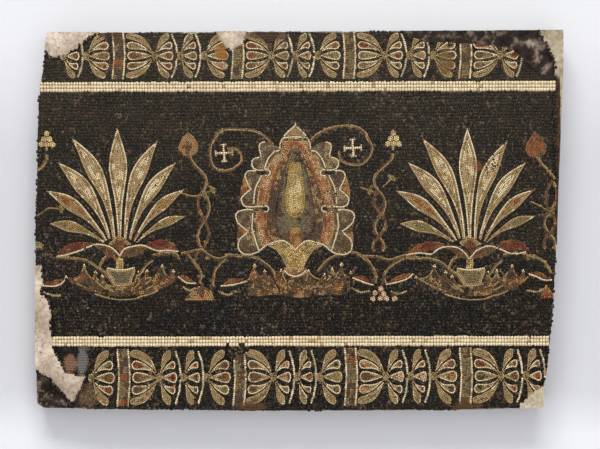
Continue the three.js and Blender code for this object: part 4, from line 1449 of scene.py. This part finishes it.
def make_films_and_sheen():
    """A node group that lays the films and, towards the top, a pale haze of painted sheen from the light
    above over a colour.
    """
    tree = bpy.data.node_groups.new("films_and_sheen", "ShaderNodeTree")
    tree.interface.new_socket("Color", in_out="INPUT", socket_type="NodeSocketColor")
    tree.interface.new_socket("Color", in_out="OUTPUT", socket_type="NodeSocketColor")
    nodes = Nodes(tree)
    colour = nodes.add("NodeGroupInput").outputs[0]
    # Painted sheen: a pale haze that grows towards the top of the panel, as if the light from above glanced
    # off it.
    top_sheen = nodes.range(nodes.along(2), -0.12, 0.2, 0.0, 0.16)
    colour = nodes.mix(nodes.math("MULTIPLY", top_sheen, nodes.noise(30, 6, 0.75)), colour, (120, 108, 88))
    uneven = nodes.math("MULTIPLY", nodes.noise(95, 5, 0.75), 1.6)
    for x, z, half_x, half_z, shade, strength in FILMS:
        reach = nodes.math("ADD", nodes.from_point(x, z, half_x, half_z), uneven)
        colour = nodes.mix(nodes.range(reach, 1.5, 1.85, strength, 0.0), colour, shade)
    nodes.link(colour, nodes.add("NodeGroupOutput").inputs[0])
    return tree


# Real stains and smears, with a painted sheen towards the top.
films_and_sheen = make_films_and_sheen()


def make_stone(name, colours):
    """Cut stone: each block has its own colour, with grain, clouding, and lime left on its face."""
    surface = Surface("stone_" + name)
    one_each = surface.add("ShaderNodeNewGeometry").outputs["Random Per Island"]
    stops = [(k / (len(colours) - 1), colour) for k, colour in enumerate(colours)]
    colour = surface.ramp(one_each, stops)
    grain = surface.noise(900, 3)
    clouds = surface.noise(14, 5)
    speckle = surface.ramp(grain, [(0.3, (176, 170, 162)), (0.7, (255, 252, 246))])
    colour = surface.mix(0.35, colour, speckle, "MULTIPLY")
    film = surface.range(clouds, 0.45, 0.75, 0.0, 0.1)
    colour = surface.mix(film, colour, (92, 70, 44))
    lime = surface.range(surface.noise(160, 5, 0.75), 0.64, 0.8, 0.0, 0.35)
    colour = surface.with_films_and_sheen(surface.mix(lime, colour, (160, 142, 112)))
    roughness = surface.range(surface.noise(220, 3), 0.3, 0.7, 0.46, 0.7)
    surface.shader.inputs["Specular IOR Level"].default_value = 0.15
    return surface.finish(colour, roughness, grain, 0.35, 0.0002)


stone_materials = {name: make_stone(name, colours) for name, colours in STONE_COLOURS.items()}


# Dark, middle and light, and the dirt on them.
MORTAR_COLOURS = {
    "joint_mortar": [(12, 10, 8), (38, 32, 25), (132, 116, 92), (16, 13, 10)],
    "repair_plaster": [(160, 142, 124), (192, 175, 157), (216, 202, 185), (138, 110, 88)],
    "grey_plaster": [(150, 138, 116), (178, 166, 142), (200, 190, 168), (110, 92, 70)],
    "margin_brown": [(34, 24, 18), (62, 44, 32), (86, 66, 48), (24, 18, 14)],
    "margin_pale": [(140, 128, 106), (172, 160, 136), (190, 180, 156), (104, 82, 56)],
    "exposed_mortar": [(20, 16, 15), (50, 40, 34), (150, 135, 120), (20, 16, 14)],
    "backing_stone": [(126, 120, 108), (146, 139, 126), (160, 153, 140), (98, 88, 74)],
}


def mortar_colour(surface, colours, patch, sand):
    """Clouds of three colours, grains of sand, and old dirt. patch is the scale of the clouds."""
    clouds = surface.noise(patch, 6, 0.65)
    colour = surface.ramp(clouds, [(0.34, colours[0]), (0.5, colours[1]), (0.66, colours[2])])
    grains = surface.ramp(sand, [(0.34, (120, 110, 98)), (0.6, (255, 253, 248))])
    colour = surface.mix(0.6, colour, grains, "MULTIPLY")
    dirt = surface.range(surface.noise(60, 6, 0.7), 0.55, 0.78, 0.0, 0.7)
    return surface.mix(dirt, colour, colours[3])


def make_mortar(name, scale=260, strength=0.8, patch=22, pores=0.0):
    """Sandy mortar or plaster. pores is how dark its small pits are, from 0 to 1."""
    surface = Surface(name)
    sand = surface.noise(scale, 6, 0.8)
    colour = mortar_colour(surface, MORTAR_COLOURS[name], patch, sand)
    pits = surface.range(surface.noise(330, 3, 0.6), 0.63, 0.7, 0.0, 1.0)
    colour = surface.mix(surface.math("MULTIPLY", pits, pores), colour, (58, 44, 34))
    if name == "joint_mortar":
        colour = surface.with_films_and_sheen(colour)
    roughness = surface.range(sand, 0.3, 0.7, 0.8, 0.96)
    surface.shader.inputs["Specular IOR Level"].default_value = 0.15
    height = surface.math("SUBTRACT", sand, surface.math("MULTIPLY", pits, 0.7 * pores))
    return surface.finish(colour, roughness, height, strength, 0.0008)


def make_margin_mortar(name):
    """Brown old mortar down the right side, with a strip of pale plaster along its outer edge."""
    surface = Surface(name)
    sand = surface.noise(240, 6, 0.8)
    brown = mortar_colour(surface, MORTAR_COLOURS["margin_brown"], 50, sand)
    pale = mortar_colour(surface, MORTAR_COLOURS["margin_pale"], 40, sand)
    wander = surface.math("MULTIPLY", surface.noise(55, 5, 0.7), 0.006)
    outer = surface.range(surface.math("ADD", surface.along(0), wander), 0.3158, 0.3168, 0.0, 1.0)
    outer = surface.math("MULTIPLY", outer, surface.range(surface.along(2), 0.06, 0.12, 0.0, 0.9))
    corner = surface.range(surface.math("ADD", surface.along(2), wander), 0.172, 0.18, 0.0, 1.0)
    share = surface.math("MAXIMUM", outer, corner)
    roughness = surface.range(sand, 0.3, 0.7, 0.82, 0.96)
    surface.shader.inputs["Specular IOR Level"].default_value = 0.15
    return surface.finish(surface.mix(share, brown, pale), roughness, sand, 0.9, 0.0008)


mortars = {
    "joint": make_mortar("joint_mortar", 420, 0.8, 300),
    "plaster": make_mortar("repair_plaster", pores=0.85),
    "grey_plaster": make_mortar("grey_plaster"),
    "margin": make_margin_mortar("margin_mortar"),
    "rough": make_mortar("exposed_mortar", 200, 1.0, 55),
    "slab": make_mortar("backing_stone", 180, 0.6),
}


# ---------- plates of mortar, plaster and stone
def plate(name, outlines, spacing, front, back, creases=(), wall_steps=2, rough_wall=0.3):
    """A closed plate over what the outlines have in common, from back(x, z) to front(x, z)."""
    rings = [spread(outline, spacing * 0.8, closed=True)[0] for outline in outlines]
    lines = [spread(outline, spacing * 0.8, closed=True)[0] for outline in creases]
    low = np.max([ring.min(0) for ring in rings], 0)
    high = np.min([ring.max(0) for ring in rings], 0)
    x, z = np.meshgrid(np.arange(low[0], high[0], spacing), np.arange(low[1], high[1], spacing))
    x = (x + dice.uniform(-0.25, 0.25, x.shape) * spacing).ravel()
    z = (z + dice.uniform(-0.25, 0.25, z.shape) * spacing).ravel()
    keep = np.ones(len(x), bool)
    for ring in rings:
        keep &= inside(ring, x, z)
    inner = np.column_stack([x, z])[keep]
    for ring in rings + lines:
        inner = inner[distance(inner, ring) > spacing * 0.45]
    points, edges = [inner], []
    start = len(inner)
    for ring in rings + lines:
        points.append(ring)
        edges += [(start + k, start + (k + 1) % len(ring)) for k in range(len(ring))]
        start += len(ring)
    vectors = [Vector(p) for p in np.vstack(points)]
    flat, _, faces, *_ = delaunay_2d_cdt(vectors, edges, [], 0, 1e-3)
    flat = np.array([(p.x, p.y) for p in flat])
    faces = np.array([face for face in faces if len(face) == 3])
    centre = flat[faces].mean(1)
    kept = np.ones(len(faces), bool)
    for ring in rings:
        kept &= inside(ring, centre[:, 0], centre[:, 1])
    faces = faces[kept]
    return closed_mesh(name, flat, faces, front, back, wall_steps, rough_wall)


def closed_mesh(name, flat, faces, front, back, wall_steps, rough_wall):
    """The front faces, their copies at the back, and walls with their own unevenness between."""
    used = np.unique(faces)
    number = np.zeros(len(flat), int)
    number[used] = np.arange(len(used))
    flat, faces = flat[used], number[faces]
    total = len(flat)
    near = front(flat[:, 0], flat[:, 1])
    far = back(flat[:, 0], flat[:, 1])
    points = [np.column_stack([flat[:, 0], -depth, flat[:, 1]]) for depth in (near, far)]
    sides = np.vstack([faces[:, (0, 1)], faces[:, (1, 2)], faces[:, (2, 0)]])
    both = {tuple(side) for side in sides.tolist()}
    rim = [(a, b) for a, b in both if (b, a) not in both]
    on_rim = sorted({a for a, b in rim})
    outward = np.zeros((total, 2))
    for a, b in rim:
        step = flat[b] - flat[a]
        outward[a] += (step[1], -step[0])
        outward[b] += (step[1], -step[0])
    outward /= np.hypot(*outward.T)[:, None] + 1e-9
    layers = [{k: k for k in on_rim}]
    for layer in range(1, wall_steps):
        share = layer / wall_steps
        base = sum(len(part) for part in points)
        bend = rough_wall * noise(flat[on_rim, 0] + 31 * layer, flat[on_rim, 1] - 17 * layer, 7, 9)
        place = flat[on_rim] + outward[on_rim] * bend[:, None]
        depth = near[on_rim] * (1 - share) + far[on_rim] * share
        points.append(np.column_stack([place[:, 0], -depth, place[:, 1]]))
        layers.append({k: base + i for i, k in enumerate(on_rim)})
    layers.append({k: total + k for k in on_rim})
    polygons = faces.tolist() + (faces[:, ::-1] + total).tolist()
    for upper, lower in zip(layers, layers[1:]):
        polygons += [(upper[a], lower[a], lower[b], upper[b]) for a, b in rim]
    mesh = bpy.data.meshes.new(name)
    mesh.from_pydata((np.vstack(points) * MM).tolist(), [], polygons)
    mesh.update()
    return mesh


def add_piece(name, mesh, material=None, nodes=()):
    """A piece of the object, which stands for its CAD nodes and rides on the body."""
    if material is not None:
        mesh.materials.append(material)
    piece = bpy.data.objects.new(name, mesh)
    bpy.context.scene.collection.objects.link(piece)
    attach(piece, "root")
    if nodes:
        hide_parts(*nodes)
    return piece


def level(depth):
    """A plane at one depth, as the back of a plate."""
    return lambda x, z: np.full(len(x), depth)


def make_slab():
    """The stone slab: sawn at the back and chipped along its edges."""
    edge = ragged(PANEL_EDGE, 21, 0.9)

    def front(x, z):
        return SLAB_FRONT + 0.25 * noise(x, z, 9, 2)

    def back(x, z):
        saw = 0.25 * np.sin(z / 1.9 + noise(x, z, 80, 3)) * (0.5 + 0.5 * noise(x, z, 50, 4))
        return np.clip(0.5 + saw + 0.35 * noise(x, z, 23, 5), 0, 2)

    mesh = plate("backing_slab_stone", [edge], 6.5, front, back, wall_steps=9, rough_wall=0.7)
    add_piece("backing_slab_stone", mesh, mortars["slab"], ["backing_slab"])


def make_bed():
    """The mortar that the stones sit in. Its face shows as the joints, and its rim round the edge."""
    edge = ragged(shrink(PANEL_EDGE, 2.2), 22, 0.9)

    def front(x, z):
        depth = FACE - BURIED + 0.12 * noise(x, z, 7, 6)
        for outline in LOSSES[:-1]:
            depth = np.where(inside(outline, x, z), SLAB_FRONT + 7, depth)
        return np.where(inside(CHIP, x, z), FACE - 4.5 + 0.8 * noise(x, z, 4, 7), depth)

    creases = [shrink(outline, 0.5) for outline in LOSSES]
    mesh = plate("setting_mortar", [edge], 6.0, front, level(SLAB_FRONT - 0.3), creases, wall_steps=5,
                 rough_wall=0.5)
    add_piece("setting_mortar", mesh, mortars["joint"], ["setting_bed"])


FILLS = (
    ("plaster_top_left", PLASTER_TOP_LEFT, 0.5, 1.0, "plaster", "repair_plaster"),
    ("plaster_top_middle", PLASTER_TOP_MIDDLE, 0.1, 0.8, "plaster", "repair_plaster"),
    ("plaster_lower_left", PLASTER_LOWER_LEFT, 0.7, 1.2, "plaster", "repair_plaster"),
    ("plaster_lower_right", PLASTER_LOWER_RIGHT, -0.3, 0.8, "grey_plaster", "repair_plaster"),
    ("mortar_right_margin", MARGIN_RIGHT, -1.1, 0.9, "margin", "margin_mortar"),
    ("exposed_mortar_top_right", LOSS_TOP_RIGHT, -2.8, 3.4, "rough", "exposed_mortar"),
    ("exposed_mortar_corner", BROKEN_CORNER, -7.0, 3.2, "rough", "exposed_mortar"),
)


def make_fill(name, outline, lift, lump, material, slot):
    """A patch of plaster or bare mortar, lumpy, that thins out under the stones round it."""
    ring, _ = spread(outline, 1.5, closed=True)
    body = ragged(shrink(outline, -0.9), 24, 1.1)
    edge = shrink(PANEL_EDGE, 0.9)

    def front(x, z):
        rise = lump * (0.5 * noise(x, z, 13, 11) + 0.3 * noise(x, z, 5.5, 12) + 0.2 * noise(x, z, 2.6, 13))
        margin = np.clip(distance(np.column_stack([x, z]), ring) / 4, 0, 1)
        within = inside(ring, x, z)
        rim = FACE - BURIED - 0.4
        return np.where(within, rim + (FACE + lift + rise - rim) * margin ** 0.6, rim - 0.3)

    mesh = plate(name + "_fill", [body, edge], 1.5, front, level(SLAB_FRONT + 5.0), wall_steps=4,
                 rough_wall=0.6)
    add_piece(name + "_fill", mesh, mortars[material], [name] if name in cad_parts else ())


def make_stones():
    """Cuts every stone of the layout and builds one piece for each part of the picture."""
    x, z, angle, size = (np.array([site[k] for site in layout.sites]) for k in range(4))
    stones = pick_stones(x, z, np.array([site[4] for site in layout.sites]))
    names = np.array([site[5] for site in layout.sites])
    names = np.where((names == "field_ground") & (x < LOTUS_X), "field_ground.left", names)
    joint = np.where(size > 2.7, GROUND_JOINT, FINE_JOINT)
    joint[np.char.endswith(names, "fillet")] = FILLET_JOINT
    poly, count = cut_stones(x, z, angle, size, joint)
    for name in sorted(set(names.tolist())):
        chosen = (names == name) & (count > 2)
        node = name.split(".")[0]
        mesh = solid_stones(name + "_stones", poly[chosen], count[chosen], stones[chosen])
        add_piece(name + "_stones", mesh, None, [node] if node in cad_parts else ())


# ---------- stage, light and camera
# The wall's distance, and the sweep that leads from it to the floor, in metres.
WALL_Y, SWEEP_TOP, SWEEP = 0.0035, -0.55, 0.25
# The wall's tone by height, as shares of the way from -0.4 to 0.4 metres: painted light, paler above the
# panel's top and below its bottom, darker behind the panel.
WALL_PAINTED_LIGHT = [
    (0.17, (208, 208, 211)), (0.24, (187, 187, 190)), (0.6, (185, 185, 188)), (0.78, (200, 200, 203)),
]


def make_stage():
    """A pale wall that the panel hangs on, with painted light in its tone by height, running down in a sweep
    to a pale floor.
    """
    profile = [(WALL_Y, 3.0), (WALL_Y, SWEEP_TOP)]
    for turn in np.linspace(0.1, math.pi / 2, 12):
        profile.append((WALL_Y - SWEEP * (1 - math.cos(turn)), SWEEP_TOP - SWEEP * math.sin(turn)))
    profile += [(-6.0, SWEEP_TOP - SWEEP)]
    points, faces = [], []
    for y, z in profile:
        points += [(-5, y, z), (5, y, z)]
    for k in range(len(profile) - 1):
        faces.append((2 * k, 2 * k + 2, 2 * k + 3, 2 * k + 1))
    mesh = bpy.data.meshes.new("wall_and_floor")
    mesh.from_pydata(points, [], faces)
    for polygon in mesh.polygons:
        polygon.use_smooth = True
    surface = Surface("pale_wall")
    clouds = surface.noise(3, 4)
    height = surface.range(surface.along(2), -0.4, 0.4, 0.0, 1.0)
    # Painted light: the wall is darker behind the panel and paler above and below it, as the light falls.
    colour = surface.ramp(height, WALL_PAINTED_LIGHT)
    roughness = surface.range(clouds, 0.3, 0.7, 0.85, 0.95)
    material = surface.finish(colour, roughness, surface.noise(400, 3), 0.05, 0.0004)
    see_through = surface.add("ShaderNodeBsdfTransparent")
    choose = surface.add("ShaderNodeMixShader")
    surface.link(surface.add("ShaderNodeNewGeometry").outputs["Backfacing"], choose.inputs[0])
    surface.link(surface.shader.outputs[0], choose.inputs[1])
    surface.link(see_through.outputs[0], choose.inputs[2])
    surface.link(choose.outputs[0], surface.tree.nodes["Material Output"].inputs["Surface"])
    mesh.materials.append(material)
    wall = bpy.data.objects.new("wall_and_floor", mesh)
    bpy.context.scene.collection.objects.link(wall)
    wall.visible_shadow = False


def add_light(name, place, target, size, power, colour=(1, 1, 1)):
    light = bpy.data.lights.new(name, "AREA")
    light.shape = "RECTANGLE"
    light.size, light.size_y = size
    light.energy = power
    light.color = colour
    lamp = bpy.data.objects.new(name, light)
    lamp.location = place
    lamp.rotation_euler = (Vector(target) - Vector(place)).to_track_quat("-Z", "Y").to_euler()
    bpy.context.scene.collection.objects.link(lamp)


def make_light():
    add_light("key", (-0.3, -2.2, 3.1), (0, 0, -0.1), (2.4, 1.3), 160)
    add_light("fill", (0.9, -2.8, 0.2), (0, 0, 0), (1.6, 1.6), 22)
    add_light("behind", (-1.4, 2.2, 1.2), (0, 0, 0), (1.6, 1.6), 60)
    world = bpy.data.worlds.new("studio")
    world.use_nodes = True
    world.node_tree.nodes["Background"].inputs["Color"].default_value = (0.95, 0.97, 1, 1)
    world.node_tree.nodes["Background"].inputs["Strength"].default_value = 0.5
    bpy.context.scene.world = world
    bpy.context.scene.view_settings.view_transform = "Standard"


def make_camera():
    """Straight in front of the panel, at the height of its middle."""
    camera = bpy.data.cameras.new("camera")
    camera.lens = 85
    camera.sensor_width = 36
    body = bpy.data.objects.new("camera", camera)
    body.location = (0.00084, -1.74, -0.0048)
    body.rotation_euler = (math.pi / 2, 0, 0)
    bpy.context.scene.collection.objects.link(body)
    bpy.context.scene.camera = body


make_slab()
make_bed()
for fill in FILLS:
    make_fill(*fill)
make_stones()
make_stage()
make_light()
make_camera()
